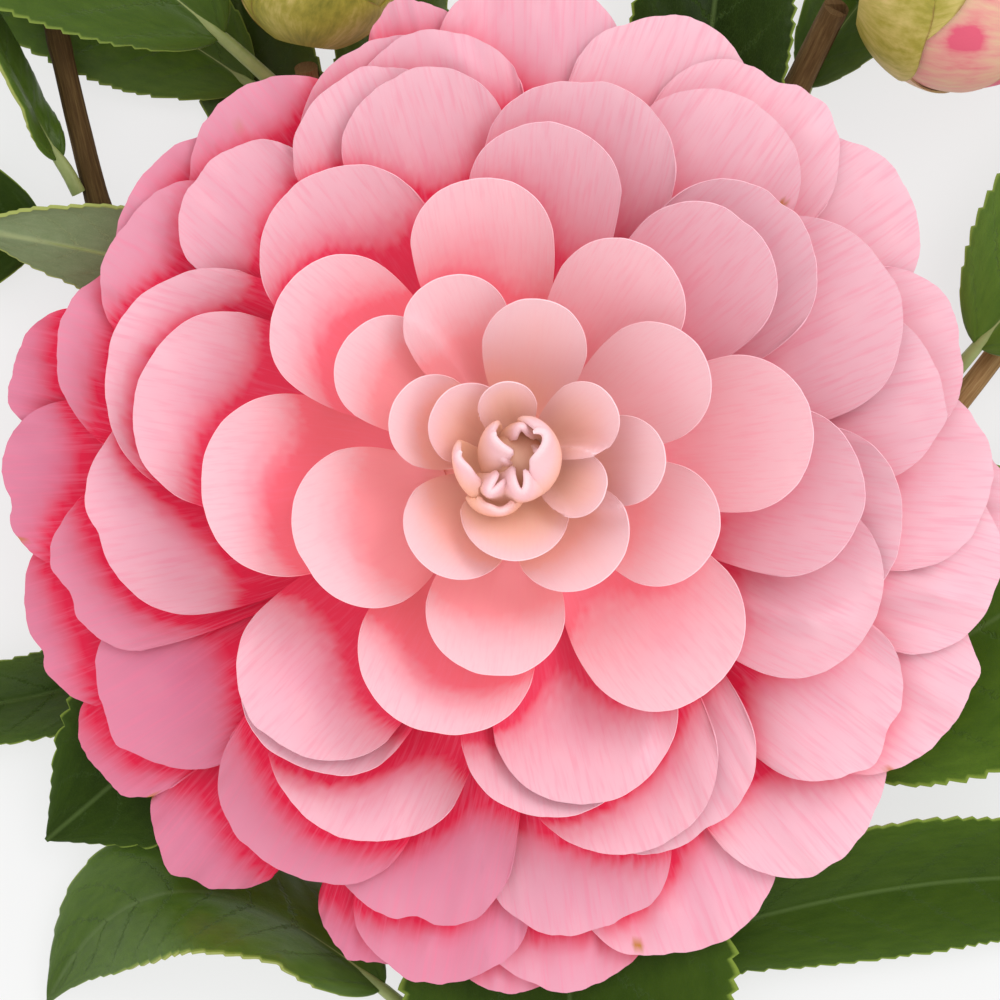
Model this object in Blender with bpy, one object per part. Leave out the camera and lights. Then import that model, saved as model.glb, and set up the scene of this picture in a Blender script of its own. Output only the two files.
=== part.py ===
"""A cut flowering camellia sprig, lying on its back with the bloom facing up.

One woody stem forks under a formal double bloom into two side twigs, a low right-hand
twig and a bud shoot. Leaves and two unopened buds sit on those. All tables below are in
millimetres, measured from the bloom's axis: +X right, +Y towards the twig tips, +Z up
from the surface that the sprig lies on.
"""

import math

import bpy
import numpy as np

MM = 0.001

# Bloom, measured up from the underside of its receptacle
BLOOM_LIFT = 11.0        # receptacle above the surface
PETAL_THICK = 0.8
PETAL_GAP = 0.35         # least clearance between two overlapping petals
PETAL_ROWS = 3           # facets from base to tip
PETAL_COLUMNS = 6        # facets round the rounded end
CAP_ROUNDNESS = 0.9      # radial half-axis of a petal's rounded end over its half-width
BASE_SHARE = 0.3         # width of a petal's foot over its full width
STEEP_LIMIT = 2.3        # most that a steep petal's thickness is drawn out upright

# How petals change with their reach from the axis
REACH = [8, 12, 17, 23, 30, 37, 41, 44, 47, 50, 53, 56]
TIP_HEIGHT = [33.5, 34.8, 35, 33.3, 30, 24, 19.6, 16.2, 12.4, 8.5, 4.4, 0.8]
FOOT_RADIUS = [1.6, 2.6, 4, 7, 9, 10, 9.6, 9, 8, 7, 6.5, 6]
FOOT_RISE = [60, 52, 44, 35, 28, 20, 19, 19, 18, 17, 14, 10]      # degrees above level
TIP_RISE = [66, 66, 63, 57, 48, 37, 26, 16, 6, -4, -12, -18]
CUP = [0.3, 0.3, 0.34, 0.34, 0.32, 0.24, 0.17, 0.1, 0.04, -0.03, -0.08, -0.12]
LIFT_LIMIT = [1.2, 1.5, 2.5, 5, 8, 10, 10, 10, 10, 10, 10, 10]     # most rise over those below

# Petals by ring, outermost ring last: bearing in degrees, reach and width
PETAL_RINGS = [
    [(100, 8.4, 6.2), (32, 12.0, 8.0), (338, 10.0, 7.0), (268, 10.6, 11.5)],
    [(143, 10.4, 9.0), (155, 14.3, 10.0), (228, 14.7, 11.8), (306, 15.5, 12.5),
     (0, 15.6, 9.5), (81, 17.1, 11.0)],
    [(114, 20.8, 11.3), (145, 22.0, 11.6), (30, 22.5, 12.9), (336, 22.6, 13.2),
     (262, 22.8, 14.7), (204, 25.0, 17.3)],
    [(57, 26.2, 14.2), (99, 30.0, 15.0), (250, 30.1, 18.8), (143, 30.4, 15.8),
     (7, 31.3, 16.5), (311, 31.6, 18.3), (186, 33.5, 19.3)],
    [(45, 34.7, 16.5), (84, 35.5, 16.0), (353.5, 36.5, 17.5), (285, 36.7, 19.5),
     (129, 36.9, 19.0), (278, 37.6, 19.5), (228, 38.9, 19.0), (42, 39.2, 19.0),
     (230.5, 39.9, 19.2), (170, 40.9, 20.5), (78, 41.1, 20.5), (336, 41.4, 19.5),
     (348.5, 41.5, 20.2)],
    [(106, 42.5, 17.5), (289, 42.9, 20.8), (242.5, 43.6, 21.8), (26.5, 43.8, 21.5),
     (113.5, 44.2, 18.5), (165.5, 44.2, 24.0), (295, 44.3, 21.3), (187.5, 45.3, 23.0),
     (11, 45.5, 19.0), (56, 45.5, 19.0), (137, 45.5, 16.5), (102.5, 46.5, 18.5),
     (110, 46.8, 20.0)],
    [(150, 48.6, 20.0), (16, 48.8, 19.0), (322.5, 48.8, 19.0), (128, 48.8, 20.0),
     (143, 49.5, 22.0), (54, 49.8, 20.5), (164, 49.8, 20.0), (195, 50.0, 18.0),
     (68, 50.0, 20.0), (358, 50.0, 20.0), (239, 50.0, 22.0), (256, 50.2, 19.0),
     (37, 50.3, 21.0), (279, 50.4, 20.0), (213, 50.8, 19.5), (88, 51.6, 20.0)],
    [(346, 52.4, 19.0), (329.5, 53.9, 21.0), (311, 54.0, 20.0), (183, 54.5, 18.0),
     (200, 55.0, 21.0), (291.5, 55.4, 22.0), (260.5, 55.6, 18.0), (276.5, 55.8, 20.0),
     (103.5, 49.4, 10.0), (353, 52.3, 16.0), (169, 54.3, 13.5), (253, 55.0, 13.0),
     (215.5, 55.3, 14.0), (230.5, 56.0, 16.0), (270, 56.2, 16.0)],
]

# Each ring's size against the table: the higher a ring stands, the more it draws in
RING_SCALE = [0.95, 0.955, 0.96, 0.967, 0.98, 0.992, 1.004, 1.012]

# Upright petals in the heart: centre X and Y, radius, bearing, half spread, foot and tip height
HEART = [
    (0.6, 0.2, 2.9, 10, 62, 27, 38.4),
    (-0.4, -0.3, 2.7, 175, 50, 27, 37.8),
    (0.2, -1.0, 3.4, 272, 48, 27, 37.0),
    (-2.4, -0.6, 3.6, 212, 40, 26, 36.0),
]
HEART_FLARE = 0.16       # outward lean of the upright petals, over their height

# Solid middle of the bloom that every petal grows from: radius and height
RECEPTACLE_BELOW = [(7.5, 2.0), (13.0, 4.5), (16.0, 8.0)]
RECEPTACLE_ABOVE = [(16.0, 12.0), (13.5, 17.0), (10.5, 21.5), (7.0, 26.5), (4.0, 29.5), (0.0, 30.5)]

# Stems: start and end radius, then the points of the route
STEMS = {
    "main_stem": (2.4, 1.95, [(-6.5, -82.5, 2.4), (-4.9, -68.6, 2.9), (-2.8, -47.0, 4.0),
                              (-1.2, -29.8, 4.9), (-0.1, -14.8, 5.2), (0.1, -8.8, 5.4)]),
    "flower_stalk": (1.95, 2.2, [(0.1, -8.4, 5.5), (0.1, -4.6, 5.6), (0.0, -1.6, 6.2),
                                 (0.0, -0.1, 7.6), (0.0, 0.0, 8.7)]),
    "left_twig": (1.75, 1.2, [(-6.2, -32.6, 4.9), (-18, -20, 5.2), (-31, -2, 5.2),
                              (-40.4, 14, 5.2), (-44.5, 26.1, 5.4), (-49.4, 46.2, 6.0),
                              (-52.3, 59.5, 6.0)]),
    "right_twig": (1.75, 1.5, [(4.0, -21.6, 5.4), (10, -6, 5.6), (18.7, 14.3, 5.8),
                               (26.1, 31.5, 6.2), (29.7, 39.4, 6.8), (33.0, 46.2, 9.0),
                               (34.2, 48.6, 11.2)]),
    "low_right_twig": (1.7, 1.15, [(3.2, -38.0, 4.4), (15, -29, 4.0), (30, -14.5, 3.6),
                                   (41.3, -1.8, 3.2), (48.3, 7.1, 3.0), (52.1, 12.1, 2.9),
                                   (61.2, 24.5, 2.8)]),
    "bud_shoot": (1.6, 1.3, [(-4.2, -11.6, 5.6), (-9, 0, 5.6), (-14.6, 19, 5.6),
                             (-20.2, 33, 5.8), (-22.0, 39.0, 6.6), (-22.5, 42.4, 8.6)]),
}
STEM_SIDES = 8
STEM_RINGS = 12

# Buds: foot, tip, greatest radius
BUDS = {
    "bud_left": ((-22.5, 44.4, 10.2), (-18.6, 66.3, 14.0), 9.2),
    "bud_right": ((36.2, 50.3, 13.2), (60.2, 46.8, 14.6), 9.8),
}
BUD_SIDES = 12
BUD_RINGS = 9

# Leaves: foot by the twig, a point half way, tip, width, then roll at the foot's end of the
# blade, roll at the tip and fold along the midrib, in degrees
LEAVES = {
    "leaf_top_left": ((-25.0, 39.8, 7.4), (-54, 61.5, 15.5), (-84, 74, 9.5), 25, -8, -8, 7),
    "leaf_top_left_low": ((-24.4, 37.4, 3.4), (-45, 50.5, 2.4), (-69, 57, 0.5), 18, 0, 0, 4),
    "leaf_behind_bud": ((-17.2, 21.0, 3.0), (-27.6, 41, 1.2), (-30.5, 56, 0.6), 14, 0, 0, 3),
    "leaf_by_bud": ((-17.4, 33.0, 3.4), (-13.4, 46.4, 1.4), (-10.0, 61.0, 0.6), 12, 0, 0, 3),
    "leaf_left_narrow": ((-49.0, 31.2, 7.6), (-54.8, 44.2, 8.6), (-62, 58, 7.8), 10, 68, 68, 10),
    "leaf_left_dark": ((-46.9, 24.8, 4.0), (-66.0, 25.5, 2.8), (-87, 24, 0.7), 18, 0, 0, 4),
    "leaf_left_pale": ((-14.6, 15.2, 8.8), (-38.5, 21.4, 11), (-60, 25.6, 8), 12, 148, 148, 5),
    "leaf_left_low": ((-27.6, -12.4, 3.2), (-51, -25, 2.2), (-81, -25.5, 0.6), 11, 0, 0, 30),
    "leaf_serrated": ((-10.4, -7.0, 7.2), (-32, -25, 9.4), (-51, -41, 4.4), 27, 0, 0, 4),
    "leaf_arched": ((-7.8, -63, 3.4), (-33.5, -45.8, 9.4), (-51.2, -59, 1.6), 20, 66, 26, 8),
    "leaf_bottom": ((2.6, -12.0, 7.4), (5.6, -54.0, 8.4), (6.6, -93.0, 2.6), 37, 0, 0, 5),
    "leaf_lower_right": ((-0.2, -58, 2.8), (43, -45.6, 6.2), (75, -48, 2.0), 16.5, 24, 24, 6),
    "leaf_right": ((20.2, -28.4, 4.2), (51.0, -17.0, 8.0), (76.0, 6.0, 2.0), 31, -4, -4, 6),
    "leaf_upper_right": ((45.6, 7.6, 4.8), (64.5, 28.0, 9.0), (86.0, 45.0, 3.2), 24, 0, 0, 7),
    "leaf_top": ((16.2, 17.6, 7.2), (21.2, 48.5, 9.4), (24.0, 80.0, 3.2), 18, 0, 0, 6),
    "leaf_top_right_low": ((29.9, 36.8, 3.2), (40.5, 53.2, 2), (60, 66, 0.5), 12, 0, 0, 4),
}
LEAF_THICK = 0.85
LEAF_ROWS = 9
PETIOLE_SHARE = 0.11     # of a leaf's length
PETIOLE_RADIUS = 0.8
LEAF_TIP_SHARE = 0.07    # width of the blunt facet at a leaf's tip

# Calyx: outer radius and height of its cup, and how far it stays under the receptacle
CALYX_PROFILE = [(2.6, -1.5), (5.2, -0.6), (8.4, 0.6), (12.3, 2.5), (12.9, 3.1)]
CALYX_CLEARANCE = 0.35
SEPAL_COUNT = 6
SEPAL_SCALLOP = 0.1

COLOURS = {
    "petal": (0.93, 0.42, 0.52),
    "leaf": (0.06, 0.16, 0.03),
    "bark": (0.13, 0.06, 0.03),
    "young_bark": (0.42, 0.25, 0.11),
    "bud": (0.45, 0.38, 0.14),
    "sepal": (0.32, 0.36, 0.12),
}


def clear_scene():
    for old in list(bpy.data.objects):
        bpy.data.objects.remove(old, do_unlink=True)


def finish(colour, roughness):
    material = bpy.data.materials.new(colour)
    material.use_nodes = True
    shader = material.node_tree.nodes["Principled BSDF"]
    shader.inputs["Base Color"].default_value = (*COLOURS[colour], 1.0)
    shader.inputs["Roughness"].default_value = roughness
    shader.inputs["Metallic"].default_value = 0.0
    return material


def make_object(name, points, faces, material, smooth_angle=40.0):
    """A named object whose points are in millimetres from the bloom's axis."""
    mesh = bpy.data.meshes.new(name)
    mesh.from_pydata([tuple(p) for p in np.asarray(points) * MM], [], faces)
    mesh.validate()
    mesh.shade_smooth()
    mesh.set_sharp_from_angle(angle=math.radians(smooth_angle))
    made = bpy.data.objects.new(name, mesh)
    made.data.materials.append(material)
    bpy.context.scene.collection.objects.link(made)
    return made


def closed_sleeve(rings):
    """Points and faces of rings of equal length joined in order, with both ends filled."""
    points = np.concatenate(rings)
    sides = len(rings[0])
    faces = []
    for ring in range(len(rings) - 1):
        for side in range(sides):
            here = ring * sides + side
            beside = ring * sides + (side + 1) % sides
            faces.append((here, beside, beside + sides, here + sides))
    faces.append(tuple(range(sides))[::-1])
    faces.append(tuple(range(len(points) - sides, len(points))))
    return points, faces


def closed_slab(lower, upper):
    """Points and faces of a slab between two grids of the same shape, lower and upper."""
    rows, columns = lower.shape[:2]
    points = np.concatenate([lower.reshape(-1, 3), upper.reshape(-1, 3)])
    over = rows * columns
    faces = []
    for r in range(rows - 1):
        for c in range(columns - 1):
            here = r * columns + c
            quad = (here, here + 1, here + columns + 1, here + columns)
            faces.append(quad)
            faces.append(tuple(over + k for k in quad[::-1]))
    rim = [c for c in range(columns)]
    rim += [r * columns + columns - 1 for r in range(1, rows)]
    rim += [(rows - 1) * columns + c for c in range(columns - 2, -1, -1)]
    rim += [r * columns for r in range(rows - 2, 0, -1)]
    for here, after in zip(rim, rim[1:] + rim[:1]):
        faces.append((after, here, over + here, over + after))
    return points, faces


def smooth_route(points, count):
    """Evenly placed points on a Catmull-Rom curve through the route's own points."""
    route = np.array(points, float)
    ends = np.vstack([2 * route[0] - route[1], route, 2 * route[-1] - route[-2]])
    fine = []
    for k in range(1, len(ends) - 2):
        a, b, c, d = ends[k - 1:k + 3]
        for t in np.linspace(0, 1, 12, endpoint=False):
            fine.append(0.5 * (2 * b + (c - a) * t + (2 * a - 5 * b + 4 * c - d) * t ** 2
                               + (3 * b - a - 3 * c + d) * t ** 3))
    fine = np.array(fine + [route[-1]])
    along = np.concatenate([[0], np.cumsum(np.linalg.norm(np.diff(fine, axis=0), axis=1))])
    even = np.linspace(0, along[-1], count)
    return np.stack([np.interp(even, along, fine[:, k]) for k in range(3)], axis=1)


def tube_rings(route, radii, sides):
    """Rings square to the route, turned as little as possible from one to the next."""
    tangents = np.gradient(route, axis=0)
    tangents /= np.linalg.norm(tangents, axis=1)[:, None]
    side = np.cross(tangents[0], (0.0, 0.0, 1.0))
    if np.linalg.norm(side) < 0.2:
        side = np.cross(tangents[0], (1.0, 0.0, 0.0))
    turn = np.linspace(0, 2 * math.pi, sides, endpoint=False)
    rings = []
    for middle, tangent, radius in zip(route, tangents, radii):
        side = side - tangent * side.dot(tangent)
        side /= np.linalg.norm(side)
        up = np.cross(side, tangent)
        rings.append(middle + radius * (np.outer(np.cos(turn), side) - np.outer(np.sin(turn), up)))
    return rings


# ---- bloom ----

def receptacle_top(radius):
    """Height of the bloom's solid middle over a radius, and far below outside it."""
    radii, heights = zip(*RECEPTACLE_ABOVE[::-1])
    return np.where(radius < radii[-1], np.interp(radius, radii, heights), -99.0)


def petal_outline(reach, width):
    """Radial and sideways place of a petal's grid, and its shape before it is draped."""
    foot = np.interp(reach, REACH, FOOT_RADIUS)
    rise = np.tan(np.radians(np.interp(reach, REACH, FOOT_RISE)))
    tip_rise = np.tan(np.radians(np.interp(reach, REACH, TIP_RISE)))
    cap = CAP_ROUNDNESS * width / 2
    columns = PETAL_COLUMNS if width > 13.5 else PETAL_COLUMNS - 1
    turn = np.radians(np.linspace(-90, 90, columns + 1))
    share = (np.linspace(0, 1, PETAL_ROWS + 1) ** 0.9)[:, None]
    end = reach - cap + cap * np.cos(turn)
    out = foot + (end - foot) * share
    spread = BASE_SHARE + (1 - BASE_SHARE) * np.sin(share * math.pi / 2) ** 0.9
    across = np.sin(turn) * width / 2 * spread
    run = (out - foot) / (reach - foot)
    drop = (reach - foot) * (rise + tip_rise) / 2
    height = np.interp(reach, REACH, TIP_HEIGHT) - drop
    height = height + (reach - foot) * (rise * run + (tip_rise - rise) * run ** 2 / 2)
    slope = rise + (tip_rise - rise) * run
    cup = np.interp(reach, REACH, CUP) * width / 2
    height = height + cup * np.sin(turn) ** 2 * share ** 0.7
    return out, across, height, np.minimum(np.hypot(1, slope), STEEP_LIMIT)


class HeightMap:
    """The highest petal surface laid so far, over a square grid seen from above."""

    step = 0.5
    half = 62.0

    def __init__(self):
        self.count = int(2 * self.half / self.step) + 1
        self.top = np.full((self.count, self.count), -99.0)

    def cells(self, x, y):
        i = np.clip(np.round((x + self.half) / self.step).astype(int), 0, self.count - 1)
        j = np.clip(np.round((y + self.half) / self.step).astype(int), 0, self.count - 1)
        return i, j

    def under(self, x, y):
        """Highest surface within a cell of each point."""
        i, j = self.cells(x, y)
        found = self.top[i, j]
        for di, dj in ((1, 0), (-1, 0), (0, 1), (0, -1)):
            near = self.top[np.clip(i + di, 0, self.count - 1), np.clip(j + dj, 0, self.count - 1)]
            found = np.maximum(found, near)
        return found

    def lay(self, grid):
        x, y, z = (refine(grid[..., k], 12) for k in range(3))
        i, j = self.cells(x, y)
        np.maximum.at(self.top, (i, j), z)


def refine(values, times):
    """A grid of numbers read at evenly spaced places between its points."""
    rows, columns = values.shape
    r = np.linspace(0, rows - 1, (rows - 1) * times + 1)
    c = np.linspace(0, columns - 1, (columns - 1) * times + 1)
    wide = np.stack([np.interp(c, np.arange(columns), row) for row in values])
    return np.stack([np.interp(r, np.arange(rows), col) for col in wide.T], axis=1)


def eased(lift):
    """Neighbours share a lift, so that a petal bends over what is under it."""
    soft = lift.copy()
    for _ in range(4):
        padded = np.pad(soft, 1, mode="edge")
        mean = (padded[:-2, 1:-1] + padded[2:, 1:-1] + padded[1:-1, :-2] + padded[1:-1, 2:]) / 4
        soft = np.maximum(lift, mean)
    return soft


def draped_petal(bearing, reach, width, laid):
    """Lower and upper grids of one petal, lifted clear of the petals already laid."""
    out, across, height, steep = petal_outline(reach, width)
    c, s = math.cos(math.radians(bearing)), math.sin(math.radians(bearing))
    x, y = out * c - across * s, out * s + across * c
    fine_x, fine_y, fine_z = refine(x, 6), refine(y, 6), refine(height, 6)
    under = laid.under(fine_x, fine_y)
    need = under + PETAL_GAP * refine(steep, 6) - fine_z
    free = under < receptacle_top(np.hypot(fine_x, fine_y))
    need = np.where(free, 0.0, np.maximum(need, 0.0))
    padded = np.pad(need, 6, mode="edge")
    lift = np.zeros_like(height)
    for r in range(height.shape[0]):
        for k in range(height.shape[1]):
            lift[r, k] = padded[r * 6:r * 6 + 13, k * 6:k * 6 + 13].max()
    height = height + np.minimum(eased(lift), np.interp(reach, REACH, LIFT_LIMIT))
    lower = np.stack([x, y, height], axis=2)
    upper = np.stack([x, y, height + PETAL_THICK * steep], axis=2)
    laid.lay(upper)
    return lower, upper


def heart_petal(x, y, radius, bearing, spread, foot, tip):
    """An upright petal of the heart, as a curved wall with a rounded top."""
    turn = np.radians(bearing + np.linspace(-spread, spread, 6))
    share = np.linspace(0, 1, 4)[:, None]
    top = foot + (tip - foot) * (1 - 0.22 * np.linspace(-1, 1, 6) ** 4)
    height = foot + (top - foot) * share
    inner = radius + HEART_FLARE * (height - foot) * 0.5
    walls = []
    for wall in (inner + PETAL_THICK, inner):
        walls.append(np.stack([x + wall * np.cos(turn), y + wall * np.sin(turn), height], axis=2))
    return walls


def receptacle_rings():
    turn = np.linspace(0, 2 * math.pi, 16, endpoint=False)
    rings = []
    for radius, height in RECEPTACLE_BELOW + RECEPTACLE_ABOVE[:-1]:
        ring = np.stack([radius * np.cos(turn), radius * np.sin(turn), np.full(16, height)], axis=1)
        rings.append(ring)
    return rings


def make_bloom(material):
    laid = HeightMap()
    solids = []
    for ring, scale in zip(PETAL_RINGS[::-1], RING_SCALE[::-1]):
        for bearing, reach, width in ring[::-1]:
            lower, upper = draped_petal(bearing, reach * scale, width * scale, laid)
            solids.append(closed_slab(lower, upper))
    for upright in HEART:
        solids.append(closed_slab(*heart_petal(*upright)))
    lift = np.array([0.0, 0.0, BLOOM_LIFT])
    pieces = bpy.data.collections.new("petals")
    for count, (points, faces) in enumerate(solids):
        petal = make_object(f"petal_{count}", points + lift, faces, material)
        bpy.context.scene.collection.objects.unlink(petal)
        pieces.objects.link(petal)
    points, faces = closed_sleeve(receptacle_rings())
    bloom = make_object("bloom", points + lift, faces, material, 60.0)
    union = bloom.modifiers.new("petals", "BOOLEAN")
    union.operation = "UNION"
    union.operand_type = "COLLECTION"
    union.collection = pieces
    union.solver = "MANIFOLD"
    bpy.context.view_layer.update()
    fused = bpy.data.meshes.new_from_object(
        bloom.evaluated_get(bpy.context.evaluated_depsgraph_get()))
    bloom.modifiers.clear()
    bloom.data = fused
    for petal in list(pieces.objects):
        bpy.data.objects.remove(petal, do_unlink=True)
    bpy.data.collections.remove(pieces)
    return bloom


def make_calyx(material):
    """A shallow scalloped cup of fused sepals under the bloom, solid to its stalk."""
    turn = np.linspace(0, 2 * math.pi, 24, endpoint=False)
    wave = 1 - SEPAL_SCALLOP * (0.5 - 0.5 * np.cos(SEPAL_COUNT * turn))
    rings = []
    for radius, height in CALYX_PROFILE:
        scallop = 1 + (wave - 1) * (radius / CALYX_PROFILE[-1][0]) ** 3
        rings.append(np.stack([radius * scallop * np.cos(turn), radius * scallop * np.sin(turn),
                               np.full(24, height)], axis=1))
    for radius, height in RECEPTACLE_BELOW[:1]:
        rings.append(np.stack([radius * np.cos(turn), radius * np.sin(turn),
                               np.full(24, height - CALYX_CLEARANCE)], axis=1))
    points, faces = closed_sleeve(rings)
    return make_object("calyx", points + np.array([0, 0, BLOOM_LIFT]), faces, material)


# ---- stems, buds and leaves ----

def make_stem(name, material):
    start, end, route = STEMS[name]
    path = smooth_route(route, STEM_RINGS)
    radii = np.linspace(start, end, STEM_RINGS)
    points, faces = closed_sleeve(tube_rings(path, radii, STEM_SIDES))
    return make_object(name, points, faces, material, 50.0)


def make_bud(name, material):
    """A plump bud: an egg shape on its own axis, with a small flat foot and tip."""
    foot, tip, radius = BUDS[name]
    share = np.linspace(0, 1, BUD_RINGS)
    path = np.array(foot) + np.outer(share, np.array(tip) - np.array(foot))
    egg = np.sin(math.pi * np.clip(share, 0, 1) ** 0.86) ** 0.62
    radii = np.maximum(radius * egg, [1.7] + [0.9] * (BUD_RINGS - 1))
    points, faces = closed_sleeve(tube_rings(path, radii, BUD_SIDES))
    return make_object(name, points, faces, material, 60.0)


def leaf_half_width(share, width):
    """Half-width along the blade: narrow foot, broad middle, drawn-out tip."""
    body = np.sin(math.pi * np.clip(share, 0, 1) ** 0.82) ** 0.72
    return width / 2 * np.maximum(body, LEAF_TIP_SHARE)


def make_leaf(name, material):
    """A blade on its petiole, swept along one bend as a flat ring that opens and closes."""
    foot, middle, tip, width, foot_roll, tip_roll, fold = LEAVES[name]
    foot, middle, tip = (np.array(p, float) for p in (foot, middle, tip))
    bend = 2 * middle - (foot + tip) / 2
    blade = np.linspace(PETIOLE_SHARE, 1, LEAF_ROWS)
    along = np.concatenate([[0, PETIOLE_SHARE * 0.6], blade])[:, None]
    path = (1 - along) ** 2 * foot + 2 * along * (1 - along) * bend + along ** 2 * tip
    tangents = 2 * (1 - along) * (bend - foot) + 2 * along * (tip - bend)
    tangents /= np.linalg.norm(tangents, axis=1)[:, None]
    across = np.array([-1.0, -0.5, 0.0, 0.5, 1.0])
    rings = []
    for t, middle_point, tangent in zip(along[:, 0], path, tangents):
        level = np.cross((0.0, 0.0, 1.0), tangent)
        level /= np.linalg.norm(level)
        up = np.cross(tangent, level)
        turn = math.radians(foot_roll + (tip_roll - foot_roll) * t) * min(1.0, t / 0.3)
        side = math.cos(turn) * level + math.sin(turn) * up
        normal = np.cross(tangent, side)
        if t < PETIOLE_SHARE:
            half, thick, crease = PETIOLE_RADIUS, 2 * PETIOLE_RADIUS, 0.0
        else:
            half = leaf_half_width((t - PETIOLE_SHARE) / (1 - PETIOLE_SHARE), width)
            half = max(half, PETIOLE_RADIUS)
            thick, crease = LEAF_THICK, math.radians(fold)
        centre = middle_point + np.outer(across * half * math.cos(crease), side)
        centre = centre + np.outer(np.abs(across) * half * math.sin(crease), normal)
        upper = centre + normal * thick / 2
        lower = centre - normal * thick / 2
        rings.append(np.concatenate([upper, lower[::-1]]))
    points, faces = closed_sleeve(rings)
    return make_object(name, points, faces, material, 50.0)


def face_outward(made):
    """Turns a closed shape the right way out where its sleeve was swept inside out."""
    mesh = made.data
    mesh.calc_loop_triangles()
    corners = np.array([[mesh.vertices[v].co for v in tri.vertices] for tri in mesh.loop_triangles])
    if np.linalg.det(corners).sum() < 0:
        mesh.flip_normals()


def main():
    clear_scene()
    petal = finish("petal", 0.6)
    leaf = finish("leaf", 0.35)
    bark = finish("bark", 0.8)
    young_bark = finish("young_bark", 0.7)
    bud = finish("bud", 0.5)
    sepal = finish("sepal", 0.6)
    made = [make_bloom(petal), make_calyx(sepal)]
    for name in STEMS:
        young = name in ("low_right_twig", "flower_stalk")
        made.append(make_stem(name, young_bark if young else bark))
    made += [make_bud(name, bud) for name in BUDS]
    made += [make_leaf(name, leaf) for name in LEAVES]
    for piece in made:
        face_outward(piece)
    corners = np.array([v.co for piece in made for v in piece.data.vertices])
    low, high = corners.min(axis=0), corners.max(axis=0)
    shift = np.array([-(low[0] + high[0]) / 2, -(low[1] + high[1]) / 2, -low[2]])
    for piece in made:
        piece.location = shift
        print(piece.name, len(piece.data.polygons))
    print("box", (high - low) / MM, "shift", shift / MM)


main()
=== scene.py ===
import math

import bpy
import numpy as np
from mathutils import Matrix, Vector


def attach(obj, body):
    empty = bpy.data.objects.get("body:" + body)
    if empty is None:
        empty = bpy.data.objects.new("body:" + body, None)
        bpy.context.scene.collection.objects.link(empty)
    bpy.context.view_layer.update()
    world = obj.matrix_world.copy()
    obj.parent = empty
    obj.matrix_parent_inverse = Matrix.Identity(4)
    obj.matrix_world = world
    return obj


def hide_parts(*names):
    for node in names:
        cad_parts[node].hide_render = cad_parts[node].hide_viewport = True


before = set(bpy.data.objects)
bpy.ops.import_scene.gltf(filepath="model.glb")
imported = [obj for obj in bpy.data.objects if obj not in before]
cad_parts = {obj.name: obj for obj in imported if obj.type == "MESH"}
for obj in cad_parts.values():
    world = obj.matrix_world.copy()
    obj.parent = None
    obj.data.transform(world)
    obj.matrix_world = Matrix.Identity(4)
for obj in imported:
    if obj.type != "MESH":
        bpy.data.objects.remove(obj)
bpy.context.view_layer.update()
print("frame loaded:", len(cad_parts), "nodes")

mm = 0.001
bloomAxis = np.array([0.262, 6.464, 0.0])   # where the bloom's axis stands, mm
bloomLift = 11.0       # foot of the bloom over the surface, mm
weldGap = 0.002        # points closer than this are one, mm
black, white = (0, 0, 0), (1, 1, 1)


def deselectAll():
    if bpy.context.mode != "OBJECT":
        bpy.ops.object.mode_set(mode="OBJECT")
    bpy.ops.object.select_all(action="DESELECT")


def pickOnly(piece):
    deselectAll()
    piece.select_set(True)
    bpy.context.view_layer.objects.active = piece


def readPoints(piece):
    flat = np.empty(len(piece.data.vertices) * 3)
    piece.data.vertices.foreach_get("co", flat)
    return flat.reshape(-1, 3)


def addSheet(name, columns, rows, mapName="leafMap"):
    # a flat grid with its map; every blade, petal, scale and tube starts as one
    deselectAll()
    bpy.ops.mesh.primitive_grid_add(x_subdivisions=columns, y_subdivisions=rows, size=1.0)
    piece = bpy.context.object
    piece.name = name
    piece.data.name = name
    piece.data.uv_layers[0].name = mapName
    # across -1..1 and along 0..1 of every point
    flat = readPoints(piece)
    return piece, -2 * flat[:, 0], flat[:, 1] + 0.5


def movePoints(piece, points):
    # points are in mm round the bloom's axis
    placed = (np.asarray(points) + bloomAxis) * mm
    piece.data.vertices.foreach_set("co", placed.astype(np.float32).ravel())
    piece.data.update()


def paint(piece, **looks):
    # each look is one value for the whole piece, or one for every point
    for name, values in looks.items():
        values = np.broadcast_to(values, len(piece.data.vertices)).astype(np.float32)
        layer = piece.data.attributes.new(name, "FLOAT", "POINT")
        layer.data.foreach_set("value", values)


def unit(values):
    # held between 0 and 1
    return np.clip(values, 0, 1)


def readPaint(piece, name):
    values = np.empty(len(piece.data.vertices), dtype=np.float32)
    piece.data.attributes[name].data.foreach_get("value", values)
    return values


def thicken(piece, thickness, offset=-1.0, body=None, least=1.0, underSlot=0):
    # body is 1 where the wall is full and 0 where it thins to its least share
    solid = piece.modifiers.new("thickness", "SOLIDIFY")
    solid.thickness = thickness * mm
    solid.offset = offset
    solid.material_offset = underSlot
    solid.material_offset_rim = underSlot
    if body is not None:
        group = piece.vertex_groups.new(name="body")
        for index, weight in enumerate(body):
            group.add([index], float(weight), "REPLACE")
        solid.vertex_group = "body"
        solid.thickness_vertex_group = least
    pickOnly(piece)
    bpy.ops.object.modifier_apply(modifier=solid.name)
    piece.vertex_groups.clear()


def joinPieces(pieces):
    pickOnly(pieces[0])
    for piece in pieces:
        piece.select_set(True)
    bpy.ops.object.join()
    return bpy.context.object


def settle(piece, angle, node, material=None):
    # smooths a finished piece and hands it over; with no material it keeps its own
    pickOnly(piece)
    bpy.ops.object.shade_smooth_by_angle(angle=math.radians(angle))
    if material is not None:
        piece.data.materials.clear()
        piece.data.materials.append(material)
    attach(piece, "root")
    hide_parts(node)


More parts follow.
